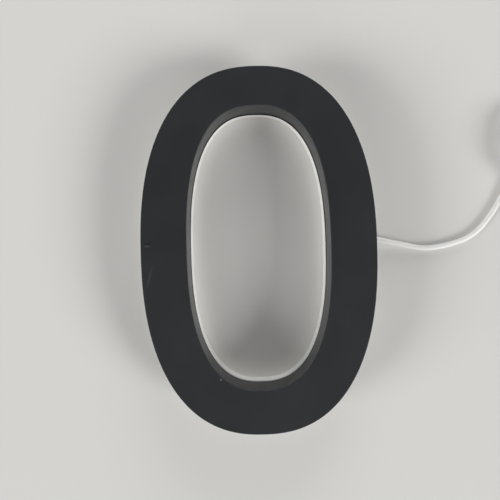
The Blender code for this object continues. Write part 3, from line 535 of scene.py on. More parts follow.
def makePlug(look):
    rear = (nodeBox("plug_body")[0][0], *nodeMiddle("plug_body")[1:])
    thin, thick, relief = look["relief"]
    radius, long = look["body"]
    front = relief + long
    outer, inner, reach = look["barrel"]
    deep = front - look["barrelRoot"]
    (pairs, sunk), (web, slope) = look["slots"], look["web"]
    (flutes, hollow), (begin, end, fade) = look["flutes"], look["fluteRun"]
    (proud, fine), (coneRows, bodyRows) = look["parting"], look["rows"]
    pitch = relief / (2 * pairs + 1)

    # Slots are cut into the relief's cone in pairs that leave two webs, turned by a quarter each
    # time. Flutes are shallow cosine grooves along the body, and two fine ridges mark the parting.
    def moulded(r, x, angle):
        number = np.floor(x / pitch)
        within = np.abs(x / pitch - number - 0.5) < 0.47
        isSlot = (number % 2 == 1) & (x < relief) & (r > 2.0)
        side = np.abs(np.cos(angle + math.pi / 2 * ((number - 1) / 2 % 2)))
        cut = sunk * smoothStep((side - web) / slope) * (isSlot & within)
        run = smoothStep((x - begin) / fade) * smoothStep((end - x) / fade) * (r > radius - 0.3)
        flute = hollow * run * (0.5 + 0.5 * np.cos(flutes * angle)) ** 2
        parting = proud * (np.abs(np.sin(angle)) < fine) * (r > thin - 0.2) * (x > relief)
        return r - cut - flute + parting

    bore, depth = look["leadBore"]
    mouth = [(0, depth), (bore, depth), (bore, 0.15), (bore + 0.2, 0)]
    mouth += [(thin - 0.25, 0), (thin, 0.2)]
    x = np.linspace(0.35, relief - 0.4, coneRows)
    cone = np.column_stack((thin + (thick - thin) * x / relief, x))
    shoulder = [(thick, relief - 0.2), (thick + 0.25, relief + 0.1)]
    corner = [(thick, relief, 0), (radius, relief + 0.2, 1.1), (radius, front / 2, 0)]
    run = [(radius, x) for x in np.linspace(relief + 1.6, front - 1.0, bodyRows)]
    nose = [(radius, front - 2, 0), (radius, front, 0.8), (outer, front, 0)]
    corner, nose = (roundCorners(corners)[1:-1] for corners in (corner, nose))
    well = [(outer + 0.03, front), (outer + 0.03, deep), (0, deep)]
    profile = np.vstack((mouth, cone, shoulder, corner, run, nose, well))
    body = turnedGrid(profile, rear, 208, "x", moulded)
    pieces = [gridPiece("plugBody", body, whitePlastic, "white_pvc", "plug_body")]

    # The barrel and its lining are sleeves: radius and rounding outside and inside, and their end.
    tip = front + reach
    barrel = ((outer, 0.3), (inner, 0.12), tip, nickelPlate, "nickel", "plug_barrel")
    core = ((inner - 0.02, 0.1), (look["coreBore"], 0.35), tip - look["coreRecess"])
    core += (blackPlastic, "black_pvc", "plug_core")
    for name, sleeve in (("plugBarrel", barrel), ("plugCore", core)):
        (wide, soft), (narrow, softer), stop, *kind = sleeve
        corners = [(wide, deep, 0), (wide, stop, soft), (narrow, stop, softer), (narrow, deep, 0)]
        grid = turnedGrid(roundCorners(corners), rear, 96, "x")
        pieces.append(gridPiece(name, grid, *kind, closed=True))
    return pieces


whitePlastic = mouldedPlastic("whiteMouldedPvc", "e4e4e0", "ededea", 0.42, 0.15, soft=0.1)
blackPlastic = mouldedPlastic("blackInsulator", "141415", "1c1c1d", 0.4, 0.12)
nickelPlate = platedMetal("nickelPlate", "b4b0a8", "cdc9c1", 0.2, 0.3)
plugPieces = makePlug(plugSettings)

print("lead, grommet, strap and plug made")


# The digit's outline and its hole, as superellipses |x/a|^n + |y/b|^n = 1.
digitSettings = {
    "sideStroke": 25.0,
    "topStroke": 21.3,
    "bottomStroke": 23.8,
    "outerExponent": 2.37,
    "holeExponent": 2.52,
    "plateNarrower": 0.5,  # mm, the acrylic shows inside the hole by this much at its sides,
    "plateHigher": 0.6,  # and its hole sits a little higher than the metal's
    "columns": 480,
}


def digitShapes(look):
    low, high = nodeBox("face_plate")
    width, height = (high - low)[:2]
    top, bottom = look["topStroke"], look["bottomStroke"]
    outer = {"a": width / 2, "b": height / 2, "n": look["outerExponent"], "middle": 0.0}
    hole = {"a": width / 2 - look["sideStroke"], "b": (height - top - bottom) / 2}
    hole |= {"n": look["holeExponent"], "middle": (bottom - top) / 2}
    plateHole = dict(hole, a=hole["a"] - look["plateNarrower"])
    plateHole["middle"] += look["plateHigher"]
    return outer, hole, plateHole


outerShape, holeShape, plateHole = digitShapes(digitSettings)
evenAngles = evenTurn(digitSettings["columns"])


def outline(shape, offset, angle):
    # The superellipse at each angle, moved by the offset along its outward normal, which is the
    # gradient of |x/a|^n + |y/b|^n.
    c, s = np.cos(angle), np.sin(angle)
    power = 2 / shape["n"]
    x, y = shape["a"] * signedPower(c, power), shape["b"] * signedPower(s, power)
    across, along = signedPower(c, 2 - power) / shape["a"], signedPower(s, 2 - power) / shape["b"]
    size = np.hypot(across, along)
    return np.stack((x + offset * across / size, y + shape["middle"] + offset * along / size), -1)


def bandGrid(section, angle, ripple=None):
    # A section carried round the digit. Each of its points is (share, depth, level): share 0 is the
    # outline, 1 the hole and 2 the acrylic's own hole, depth is how far into the band it lies from
    # that edge, and between two edges the points are blended. A ripple(angle, level) adds to depth.
    rows = []
    for share, depth, level in section:
        if ripple:
            depth = depth + ripple(angle, level)
        weights = (max(0, 1 - share), 1 - abs(share - 1), max(0, share - 1))
        sides = ((outerShape, -depth), (holeShape, depth), (plateHole, depth))
        flat = sum(weight * outline(*side, angle) for weight, side in zip(weights, sides))
        rows.append(np.column_stack((flat, np.full(len(angle), level))))
    return np.stack(rows)


coatLook = {
    "dark": "1e2023",
    "light": "26282b",
    # size in mm and detail of the coat's slow clouds, its orange peel, its fine powder, drawn about
    # twice as coarse as it is so that it shows, and a few specks of dust
    "noises": ((28.0, 3.0), (1.3, 1.0), (0.22, 2.0), (0.5, 2.0)),
    "dust": "5a5b5c",
    "metal": "6e6e6b",
    "chip": (-22.4, -69.6, 27.0),  # mm, a chip knocked out of the coat beside the hole
    "chipRadius": 0.62,
    # middle and half size in mm, lean in radians, then strength and, for a mark or painted light,
    # its colour
    "weld": ((-60.4, 4.2), (2.4, 1.3), 0.1, 20.0),  # the return's welded seam shows in the face
    "marksAndPaintedLight": (
        ((-59.7, -13.4), (0.75, 9.0), -0.288, 0.32, "5a5b5c"),  # a faint rub mark
        ((-60.6, 3.6), (2.3, 0.8), -0.03, 0.48, "5a5b5c"),  # a painted highlight on the weld's lit side
        ((-60.0, 5.1), (2.9, 1.0), 0.2, 0.85, "0a0b0c"),  # a painted shadow on the weld's far side
    ),
}


def softSpot(tree, place, middle, size, lean, strength):
    # An ellipse seen from the front: strength in its middle, falling smoothly to 0 at its edge.
    spot = {"vector_type": "TEXTURE", "Rotation": (0, 0, lean)}
    spot |= {"Location": (middle[0] * mm, middle[1] * mm, 0)}
    spot |= {"Scale": (size[0] * mm, size[1] * mm, 1)}
    local = addNode(tree, "Mapping", spot, {0: (place, "Object")})
    flat = addNode(tree, "VectorMath", {"operation": "MULTIPLY", 1: (1, 1, 0)}, {0: (local, 0)})
    away = addNode(tree, "VectorMath", {"operation": "LENGTH"}, {0: (flat, 0)})
    fade = {"interpolation_type": "SMOOTHSTEP", "To Min": strength, "To Max": 0.0}
    return addNode(tree, "MapRange", fade, {"Value": (away, "Value")})


def blackPowderCoat(name, look, roughness, withMarksAndPaintedLight=False):
    # Satin black polyester powder, sprayed and baked: dark and even, softly lit, with a fine peel.
    material, tree = newMaterial(name, {"Roughness": roughness, "IOR": 1.5})
    place = addNode(tree, "TexCoord")
    at = {"Vector": (place, "Object")}
    cloud, peel, grain, dusty = (
        addNode(tree, "TexNoise", {"Scale": 1 / (size * mm), "Detail": detail}, at)
        for size, detail in look["noises"]
    )
    tint = {"data_type": "RGBA", 6: linear(look["dark"]), 7: linear(look["light"])}
    colour = addNode(tree, "Mix", tint, {0: (cloud, 0)})
    spread = {"To Min": roughness - 0.05, "To Max": roughness + 0.05}
    gloss = addNode(tree, "MapRange", spread, {"Value": (cloud, 0)})
    fine = {"operation": "MULTIPLY_ADD", 1: 0.35}
    height = addNode(tree, "Math", fine, {0: (grain, 0), 2: (peel, 0)})
    few = {"From Min": 0.73, "From Max": 0.80, "To Max": 0.35}
    layers = [(addNode(tree, "MapRange", few, {"Value": (dusty, 0)}), look["dust"])]
    if withMarksAndPaintedLight:
        ragged = addNode(tree, "TexNoise", {"Scale": 1 / (0.4 * mm), "Detail": 2.0}, at)
        fromChip = {"operation": "DISTANCE", 1: [v * mm for v in look["chip"]]}
        away = addNode(tree, "VectorMath", fromChip, {0: (place, "Object")})
        uneven = {"operation": "MULTIPLY_ADD", 1: 0.5 * mm}
        edge = addNode(tree, "Math", uneven, {0: (ragged, 0), 2: (away, "Value")})
        reach = look["chipRadius"] * mm
        near = {"From Min": reach, "From Max": reach * 1.35, "To Min": 1.0, "To Max": 0.0}
        layers.append((addNode(tree, "MapRange", near, {"Value": (edge, 0)}), look["metal"]))
        # These are a faint rub mark on the coat and, at the weld, a painted highlight and a painted
        # shadow.
        layers += [(softSpot(tree, place, *spot), shade) for *spot, shade in look["marksAndPaintedLight"]]
        weld = softSpot(tree, place, *look["weld"])
        height = addNode(tree, "Math", {"operation": "ADD"}, {0: (height, 0), 1: (weld, 0)})
    for mask, shade in layers:
        tint = {"data_type": "RGBA", 7: linear(shade)}
        colour = addNode(tree, "Mix", tint, {0: (mask, 0), 6: (colour, 2)})
    return finished(material, colour, (height, 0), (0.5, 0.012), gloss)


def closedCellFoam():
    # Black gasket foam, skived from a bun: matt, with tiny open cells on its cut sides.
    material, tree = newMaterial("closedCellFoam", {"Roughness": 0.95, "IOR": 1.45})
    place = addNode(tree, "TexCoord")
    cells = addNode(tree, "TexVoronoi", {"Scale": 1 / (0.28 * mm)}, {"Vector": (place, "Object")})
    tint = {"data_type": "RGBA", 6: linear("121213"), 7: linear("242425")}
    colour = addNode(tree, "Mix", tint, {0: (cells, "Distance")})
    return finished(material, colour, (cells, "Distance"), (0.7, 0.08))


# Face plate: 1.2 mm steel, its edges softened by the coat, which stands a hair proud along them.
faceSettings = {
    "frontRound": 0.38, "backRound": 0.15, "lip": 0.03, "lipDepth": 0.9, "lipEnd": 2.2
}


def makeFace(look):
    # The section runs from the back over the outline's edge, across the front and back at the hole.
    low, high = nodeLevels("face_plate")
    flat = (look["lipEnd"], high - look["lip"])
    half = [(1.5, low, 0), (0, low, look["backRound"]), (0, high, look["frontRound"])]
    half += [(look["lipDepth"], high, 0.3), (*flat, 0.5)]
    corners = [(0, *corner) for corner in half] + [(0.5, *flat, 0)]
    corners += [(1, *corner) for corner in half[::-1]]
    grid = bandGrid(roundCorners(corners), evenAngles)
    return gridPiece("facePlate", grid, coatedFace, "black_coat", "face_plate", closed=True)


# Returns: 0.8 mm strip, bent by hand round the outline and the hole and butt welded at the left.
returnSettings = {
    "thickness": 0.8,
    "edge": 0.12,
    "topEdge": 0.22,
    "reach": 0.27,  # mm that the strip's edge comes up towards the face plate's back
    "wave": 0.05,
    "levels": 14,
    "seamWidth": 0.22,
    "seamDepth": 0.16,
}


def makeReturn(name, node, share, look):
    low, high = nodeLevels(node)
    high += look["reach"]
    thick = look["thickness"]
    size = (holeShape if share else outerShape)["b"]
    near = math.pi + np.linspace(-1, 1, 41) * 1.2 / size
    far = evenAngles[np.abs(evenAngles - math.pi) > 1.3 / size]
    angle = np.sort(np.concatenate((near, far)))
    length = np.abs(angle - math.pi) * size

    # Slow hand-bending waves of a thirteenth and a twentieth of the way round, which only go
    # inwards, and at the seam a narrow gaussian groove that the coat hasn't quite filled.
    def ripple(a, level):
        tilt = math.cos(level / 9.0 + share)
        wave = np.sin(13 * a + 1.7 + 2.0 * share) * tilt + 0.5 * np.sin(20 * a + 0.4 * level)
        deep = look["seamDepth"] * (1 + 0.3 * math.sin(level * 2.1))
        groove = deep * np.exp(-((length / look["seamWidth"]) ** 2))
        return look["wave"] * (wave + 1.5) * smoothStep((length - 1.0) / 4) + groove

    # The strip's cut edge runs from one side to the other, with both its corners rounded.
    def cutEdge(first, last, level, inward, soft):
        corners = [(share, first, level + inward, 0), (share, first, level, soft)]
        corners += [(share, last, level, soft), (share, last, level + inward, 0)]
        return roundCorners(corners)[1:-1]

    walls = np.linspace(low + 0.4, high - 0.5, look["levels"])
    seen = [(share, 0, level) for level in walls]
    hidden = [(share, thick, level) for level in walls[::-1]]
    top = cutEdge(0, thick, high, -1, look["topEdge"])
    bottom = cutEdge(thick, 0, low, 1, look["edge"])
    grid = bandGrid(np.vstack((seen, top, hidden, bottom)), angle, ripple)
    return gridPiece(name, grid, coatedStrip, "black_coat", node, closed=True)


# Foam seals, squeezed between the returns' edges and the acrylic. The inner one comes out a little
# into the hole, most at its top, and shows there as a dark line.
sealSettings = {
    "recess": (0.18, -0.18),
    "uneven": (0.0, 0.16),
    "depth": 0.9,
    "levels": (8.02, 9.18),
    "bulge": 0.12,
}


def makeSeal(name, node, share, look):
    # A strip whose open side is pressed out into a low rounded ridge, further out with the sine of
    # the angle round the digit.
    def squeezed(angle, level):
        return -look["uneven"][share] * np.sin(angle)

    (low, high), depth, recess = look["levels"], look["depth"], look["recess"][share]
    sunk = recess + look["bulge"]
    corners = [(share, sunk, low, 0.1), (share, recess, (low + high) / 2, 0.3)]
    corners += [(share, sunk, high, 0.1), (share, depth, high, 0.05), (share, depth, low, 0.05)]
    grid = bandGrid(roundCorners(corners), evenAngles, squeezed)
    return gridPiece(name, grid, foam, "foam", node, closed=True)


coatedFace = blackPowderCoat("blackPowderCoatFace", coatLook, 0.4, withMarksAndPaintedLight=True)
coatedStrip = blackPowderCoat("blackPowderCoatStrip", coatLook, 0.33)
foam = closedCellFoam()
makeFace(faceSettings)
makeReturn("outerReturn", "outer_return", 0, returnSettings)
makeReturn("innerReturn", "inner_return", 1, returnSettings)
makeSeal("outerSeal", "outer_seal", 0, sealSettings)
makeSeal("innerSeal", "inner_seal", 1, sealSettings)
print("channel made")


# Acrylic back: an 8 mm band that shows, with a spigot that locates inside the returns.
acrylicSettings = {
    "exposed": 8.0,
    "spigotDepth": 1.2,
    "edge": 0.18,
    "screwHole": (1.8, 3.2, 0.9),  # mm: shank radius, head radius, depth of the straight rim
    "insertHole": (2.84, 6.5),
    "pocketLow": (46.68, -0.5, 1.1),  # mm, one corner of the pocket's floor,
    "pocketHigh": (57.18, 19.5),  # and the other corner, as it is open above
    "leadBore": 1.8,
    "stemBore": (2.74, 4.3),
}


def boxGrid(low, high):
    # Four corners at two levels, with each end drawn in to its middle.
    (x0, y0, z0), (x1, y1, z1) = low, high
    middle = np.tile(((x0 + x1) / 2, (y0 + y1) / 2), (4, 1))
    ring = np.array(((x0, y0), (x1, y0), (x1, y1), (x0, y1)))
    rows = [(middle, z0), (ring, z0), (ring, z1), (middle, z1)]
    return np.stack([np.column_stack((row, np.full(4, level))) for row, level in rows])


def carved(piece, cutter):
    # The piece keeps its place and UV map, and the cutter is used up.
    tool = addObject("cutter", cutter)
    cut = piece.modifiers.new("cut", "BOOLEAN")
    cut.object = tool
    cut.solver = "EXACT"
    bpy.context.view_layer.update()
    shown = piece.evaluated_get(bpy.context.evaluated_depsgraph_get())
    mesh = bpy.data.meshes.new_from_object(shown)
    piece.modifiers.clear()
    piece.data = mesh
    bpy.data.objects.remove(tool, do_unlink=True)


def makeAcrylic(look):
    low, high = nodeLevels("acrylic_back")
    shelf, inset, edge = look["exposed"], look["spigotDepth"], look["edge"]
    half = [(3, low, 0), (0, low, edge), (0, shelf, edge)]
    half += [(inset, shelf, 0.1), (inset, high, edge), (3, high, 0)]
    shares = (0, 0, 0, 0, 0, 0, 1, 1, 1, 2, 2, 2)
    corners = [(share, *corner) for share, corner in zip(shares, half + half[::-1])]
    grid = bandGrid(roundCorners(corners), evenAngles)
    back = gridPiece("acrylicBack", grid, opal, "opal_acrylic", "acrylic_back", closed=True)

    # It is drilled for the screws and the inserts, and has a pocket and a bore for the lead.
    shank, head, rim = look["screwHole"]
    cone, beyond = rim + head - shank, high + 1
    through = [(0, -1), (head, -1), (head, rim), (shank, cone), (shank, beyond), (0, beyond)]
    radius, depth = look["insertHole"]
    blind = [(0, -1), (radius, -1), (radius, depth), (0, depth)]
    cutters = [
        gridMesh("hole", turnedGrid(hole, nodeMiddle(f"{node}_{k + 1}") * (1, 1, 0)))
        for hole, node, count in ((through, "back_screw", 6), (blind, "wall_insert", 4))
        for k in range(count)
    ]
    pocket = boxGrid(look["pocketLow"], (*look["pocketHigh"], beyond))
    cutters.append(gridMesh("pocket", pocket))
    stem, reach = look["stemBore"]
    narrow, inside = look["leadBore"], look["pocketHigh"][0] - acrylicSide - 1
    bore = [(0, inside), (narrow, inside), (narrow, -reach), (stem, -reach), (stem, 1), (0, 1)]
    middle = (acrylicSide, *leadLine[0][1:])
    cutters.append(gridMesh("bore", turnedGrid(bore, middle, axis="x")))
    carved(back, joinedMesh("cutters", cutters))
    back.data.name = "acrylicBack"
    back.data.shade_smooth()
    back.data.set_sharp_from_angle(angle=math.radians(32))


# Cast opal sheet, laser cut: milky with light inside it, and fine upright lines on its cut edges.
opal = mottledSurface(
    "opalAcrylic",
    {"Roughness": 0.5, "IOR": 1.49, **lightInside(0.5, 1.5, (1.0, 0.95, 0.85))},
    "f4f3ee",
    "fbfaf7",
    mottle=(14, 2.0),
    lines=(0.35, 9.0),
    detail=3.0,
    gloss=(0.42, 0.6),
    lined=True,
    bump=(0.35, 0.02),
)
makeAcrylic(acrylicSettings)
print("acrylic back made")


# Screws, inserts and posts, each turned on a lathe and standing on its node's middle.
def turnedPiece(name, node, profile, columns, material, slot, shape=None, closed=False):
    grid = turnedGrid(profile, nodeMiddle(node) * (1, 1, 0), columns, "z", shape)
    return gridPiece(name, grid, material, slot, node, closed=closed)


screwSettings = {
    "shank": 1.5,
    "head": 2.9,
    "rim": 0.35,
    "socket": (1.0, 1.3, 0.16),  # mm, half width of the hexagon, depth and chamfer at its mouth
}


def makeScrew(number, look):
    node = f"back_screw_{number}"
    low, high = nodeLevels(node)
    shank, head, rim = look["shank"], look["head"], look["rim"]
    flat, deep, mouth = look["socket"]
    deep += low
    corners = [(0, deep + 0.35, 0), (flat * 0.98, deep, 0), (flat, deep - 0.05, 0)]
    corners += [(flat, low + 0.14, 0), (flat + mouth, low, 0.04), (head, low, 0.14)]
    corners += [(head, low + rim, 0.08), (shank, low + rim + head - shank, 0.2)]
    corners += [(shank, high - 0.35, 0.1), (shank - 0.35, high, 0.05), (0, high, 0)]

    # Inside the socket a radius is the hexagon's: flat / cos(angle from the nearest flat's middle).
    # Over the chamfer at its mouth this fades into the circle.
    def hexagon(radius, height, angle):
        turn = (angle + math.pi / 6) % (math.pi / 3) - math.pi / 6
        share = np.clip((flat + mouth - radius) / mouth, 0, 1) * (height < deep + 0.4)
        return radius * (1 + share * (1 / np.cos(turn) - 1))

    kind = (72, zincSteel, "zinc_steel", hexagon)
    return turnedPiece(f"backScrew{number}", node, roundCorners(corners), *kind)


insertSettings = {
    "radius": 2.8,
    "bore": 1.65,
    "crest": 1.95,
    "pitch": 0.7,
    "knurls": 36,
    "groove": (0.4, 0.6),  # mm, depth and half width of the groove round its middle
}


def makeInsert(number, look):
    node = f"wall_insert_{number}"
    low, high = nodeLevels(node)
    radius, bore, crest = look["radius"], look["bore"], look["crest"]
    sunk, half = look["groove"]
    band = np.linspace(low + 0.3, high - 0.3, 40)
    band = [(radius - sunk * (abs(h - (low + high) / 2) < half), h) for h in band]
    outside = [(radius - 0.12, low), (radius, low + 0.15), *band, (radius - 0.12, high)]
    inside = [(bore, h) for h in np.linspace(high - 0.3, low + 0.3, 72)]
    profile = [*outside, (crest + 0.1, high), *inside, (crest + 0.15, low)]

    # The bore carries a thread, a triangle wave that climbs one pitch a turn. The outside carries a
    # knurl of fine upright teeth.
    def threaded(r, h, angle):
        phase = (h / look["pitch"] + angle / (2 * math.pi)) % 1
        wave = (crest - bore) * np.abs(2 * phase - 1)
        teeth = 0.1 * np.cos(look["knurls"] * angle) - 0.1
        return r + wave * (r < bore + 0.01) + teeth * (r > radius - 0.01)

    kind = (108, brass, "brass", threaded)
    return turnedPiece(f"wallInsert{number}", node, profile, *kind, closed=True)


postSettings = {"radius": 3.0, "bore": 1.7, "boreDepth": 7.2, "chamfer": 0.4, "rise": 0.28}


def makePost(number, look):
    node = f"face_post_{number}"
    low, high = nodeLevels(node)
    radius, bore, chamfer = look["radius"], look["bore"], look["chamfer"]
    top, deep = high + look["rise"], low + look["boreDepth"]
    corners = [(0, top, 0), (radius + 0.25, top, 0.1), (radius, high - 0.2, 0.3)]
    corners += [(radius, low + chamfer, 0.05), (radius - chamfer, low, 0.05)]
    corners += [(bore, low, 0.1), (bore, deep, 0), (0, deep + bore, 0)]
    profile = roundCorners(corners)
    return turnedPiece(f"facePost{number}", node, profile, 48, zincSteel, "zinc_steel")


zincSteel = platedMetal("zincPlatedSteel", "9c9d9c", "c2c3c2", 0.3, 0.25)
brass = platedMetal("turnedBrass", "a8823f", "c9a45a", 0.28, 0.2)
for number in range(1, 7):
    makeScrew(number, screwSettings)
    makePost(number, postSettings)
for number in range(1, 5):
    makeInsert(number, insertSettings)
print("screws, posts and inserts made")


# Lamp tape: a flexible board on edge round the inside of the outer return, with solder pads and a
# printed line at each place where it may be cut.
tapeSettings = {
    "inset": 1.1,  # mm from the digit's outline to the tape's outer face
    "thickness": 0.5,
    "start": 20.0,  # mm round from the digit's right, where the tape begins
    "cut": 99.9,
    "cuts": 5,
    "spacing": 1.5,
    "pad": (3.0, 2.0, 0.06),
    "padFromCut": 3.0,
    "padFromMiddle": 2.5,
    "line": (0.25, 7.4, 0.03),
    "solder": ((0, 0), (1.15, 0), (1.08, 0.2), (0.85, 0.48), (0.5, 0.68), (0, 0.75)),
    "lift": 0.3,  # mm between the tape and what is soldered on it
}
tapeAngles = np.linspace(0, 2 * math.pi, 4001)
tapeLine = outline(outerShape, -tapeSettings["inset"], tapeAngles)
tapeTravel = travel(tapeLine)


def onTape(look, travelled, level):
    # A point on the tape's inner face, and the turn of what stands there: its own axes run along
    # the tape, down the channel and out of the tape.
    angle = np.interp(travelled + np.array((-0.5, 0, 0.5)), tapeTravel, tapeAngles)
    before, here, after = outline(outerShape, -look["inset"] - look["thickness"], angle)
    x, y = (after - before) / np.linalg.norm(after - before)
    return np.array((*here, level)), np.array(((x, 0, -y), (y, 0, x), (0, -1, 0)))


def nodeOnTape(look, node):
    # The tape's face and turn at the point of its line that is nearest to the node's middle.
    middle = nodeMiddle(node)
    nearest = np.linalg.norm(tapeLine - middle[:2], axis=1).argmin()
    return onTape(look, tapeTravel[nearest], middle[2])


def makeTape(look):
    # A rounded strip's section carried along the outline, with each end drawn in to its middle.
    low, high = nodeLevels("led_tape")
    start, near, far = look["start"], look["inset"], look["inset"] + look["thickness"]
    end = start + look["cut"] * look["cuts"]
    corners = [(0, near, low, 0.12), (0, near, high, 0.12), (0, far, high, 0.12)]
    section = roundCorners([*corners, (0, far, low, 0.12)])
    places = np.linspace(start, end, round((end - start) / look["spacing"]))
    strip = bandGrid(section, np.interp(places, tapeTravel, tapeAngles))
    first, last = (np.tile(strip[:, k].mean(axis=0), (len(section), 1, 1)) for k in (0, -1))
    strip = np.concatenate((first, strip, last), axis=1)
    meshes, looks = [gridMesh("strip", strip, closedRows=True, closedColumns=False)], [0]

    level = (low + high) / 2
    rows = (level - look["padFromMiddle"], level + look["padFromMiddle"])
    for cut in range(look["cuts"] + 1):
        at = start + look["cut"] * cut
        sides = [side for side in (-1, 1) if start < at + side < end]
        for spot in ((at + side * look["padFromCut"], row) for side in sides for row in rows):
            meshes.append(roundedBox("pad", look["pad"], 0.03, *onTape(look, *spot)))
            looks.append(1)
        if len(sides) == 2:
            meshes.append(roundedBox("line", look["line"], 0.02, *onTape(look, at, level)))
            looks.append(2)
    for row in rows:
        place, turn = onTape(look, start + look["padFromCut"], row)
        dome = turnedGrid(look["solder"], (0, 0, 0), 24)
        meshes.append(gridMesh("solder", dome @ turn.T + place))
        looks.append(1)
    mesh = joinedMesh("lampTape", meshes, looks)
    return addPiece(mesh, [solderMask, tinned, blackPlastic], "white_board", "led_tape")


# Lamps: a white moulded package with a cut corner, a round cup of yellow gel and six tinned leads.
lampSettings = {
    "body": (2.24, 2.5),  # mm, half sizes, without the leads
    "top": 1.6,
    "notch": 4.05,  # mm, x + y at the cut corner
    "cup": (2.0, 1.72, 0.42),  # mm, radius at the rim and at the floor, and depth
    "gelDip": 0.12,
    "lead": (0.56, 0.75, 1.15),
    "leadReach": 2.5,  # mm from the lamp's middle to its leads' ends
    "leadPitch": 1.6,
}


def makeLamp(number, look):
    place, turn = nodeOnTape(tapeSettings, f"led_{number}")
    lift = place + turn @ (0, 0, tapeSettings["lift"])
    half, across = look["body"]
    rim, floor, deep = look["cup"]
    top = look["top"]

    # The housing's rows are (share, size, level). Share 0 is a circle, the cup, and share 1 the
    # square body |x|^10 + |y|^10 = size^10, stretched across and cut off at one corner.
    angle = evenTurn(48) + math.pi / 48
    rows = [(0, 0, top - deep), (0, floor, top - deep), (0, rim, top - 0.03), (0, rim + 0.06, top)]
    rows += [(1, half - 0.14, top), (1, half - 0.06, top - 0.08), (1, half, 0.12)]
    share, size, level = np.array([*rows, (1, half - 0.1, 0), (1, 0, 0)]).T[..., None]
    c, s = np.cos(angle), np.sin(angle)
    x = size * ((1 - share) * c + share * signedPower(c, 0.2))
    y = size * ((1 - share) * s + share * signedPower(s, 0.2) * across / half)
    limit = look["notch"] * size / half
    corner = 1 - share * (1 - np.minimum(1, limit / np.maximum(x + y, 0.001)))
    housing = np.stack((x * corner, y * corner, level * np.ones(48)), axis=-1)

    # The gel's surface dips towards its middle: level = edge - dip (1 - (r / rim)^2).
    radius = np.linspace(0, rim - 0.05, 7)
    dip = top - 0.1 - look["gelDip"] * (1 - (radius / rim) ** 2)
    below = [(floor + 0.1, top - deep + 0.04), (0, top - deep + 0.04)]
    gel = turnedGrid([*zip(radius, dip), *below], (0, 0, 0), 32)
    meshes = [gridMesh("part", grid @ turn.T + lift) for grid in (housing, gel)]
    out, pitch = look["leadReach"] - look["lead"][0] / 2, look["leadPitch"]
    for foot in ((side * out, row * pitch, 0) for side in (-1, 1) for row in (-1, 0, 1)):
        meshes.append(roundedBox("lead", look["lead"], 0.08, place + turn @ foot, turn, 16))
    mesh = joinedMesh(f"lamp{number}", meshes, [0, 1, *[2] * 6])
    return addPiece(mesh, [lampHousing, lampGel, tinned], "led_resin", f"led_{number}")


# Resistors: a ceramic chip with a black glaze on top and a tinned cap round each end.
resistorSettings = {
    "chip": (2.5, 1.5, 0.5),
    "glaze": (2.15, 1.4, 0.1),
    "cap": (0.55, 1.6, 0.88),
    "capAlong": 1.32,
    "glazeUp": 0.48,
}


def makeResistor(number, look):
    place, turn = nodeOnTape(tapeSettings, f"tape_resistor_{number}")
    lift, end = tapeSettings["lift"], look["capAlong"]
    stack = (("chip", 0, lift), ("glaze", 0, lift + look["glazeUp"]))
    meshes = [
        roundedBox(part, look[part], 0.06, place + turn @ (along, 0, up), turn, 24)
        for part, along, up in (*stack, ("cap", -end, 0), ("cap", end, 0))
    ]
    mesh = joinedMesh(f"resistor{number}", meshes, [0, 1, 2, 2])
    looks = [ceramic, blackPlastic, tinned]
    return addPiece(mesh, looks, "resistor_black", f"tape_resistor_{number}")


# Wiring: the jacket ends in the acrylic behind a cable tie, and its two cores go up to the pads.
wiringSettings = {
    "core": 0.55,
    "strand": 0.34,
    "stripped": 1.8,
    "spread": 1.5,
    "leave": 5.0,
    "arrive": 10.0,
    "band": (1.5, 2.4, 2.5),  # mm, inside and outside radius and width of the tie
    "teeth": (40, 0.06),
    "head": (2.5, 3.6, 2.6),
    "tail": (1.9, 1.5, 0.9),
    "tailUp": 0.9,
}


def makeCore(name, node, row, slot, coat, look):
    # One cubic curve from the jacket's end to the pad: it starts along the lead and ends square to
    # the tape. The last stretch is stripped to its tinned strands.
    rise, low = leadLine[0][1:]
    begin = np.array((nodeBox("cord_inside")[0][0] + 0.3, rise - row * look["spread"] / 2, low))
    tape = tapeSettings
    level = nodeMiddle("led_tape")[2] + row * tape["padFromMiddle"]
    end, turn = onTape(tape, tape["start"] + tape["padFromCut"], level)
    leave, arrive = begin - (look["leave"], 0, 0), end + turn @ (0, 0, look["arrive"])
    t = np.linspace(0, 1, 90)[:, None]
    line = (1 - t) ** 3 * begin + 3 * (1 - t) ** 2 * t * leave
    line += 3 * (1 - t) * t**2 * arrive + t**3 * end
    bare = int((np.linalg.norm(line - end, axis=1) > look["stripped"]).sum())
    wires = ((line[:bare], look["core"]), (line[bare - 2 :], look["strand"]))
    meshes = [gridMesh("core", sweptTube(path, radius, 16)) for path, radius in wires]
    return addPiece(joinedMesh(name, meshes, [0, 1]), [coat, tinned], slot, node)


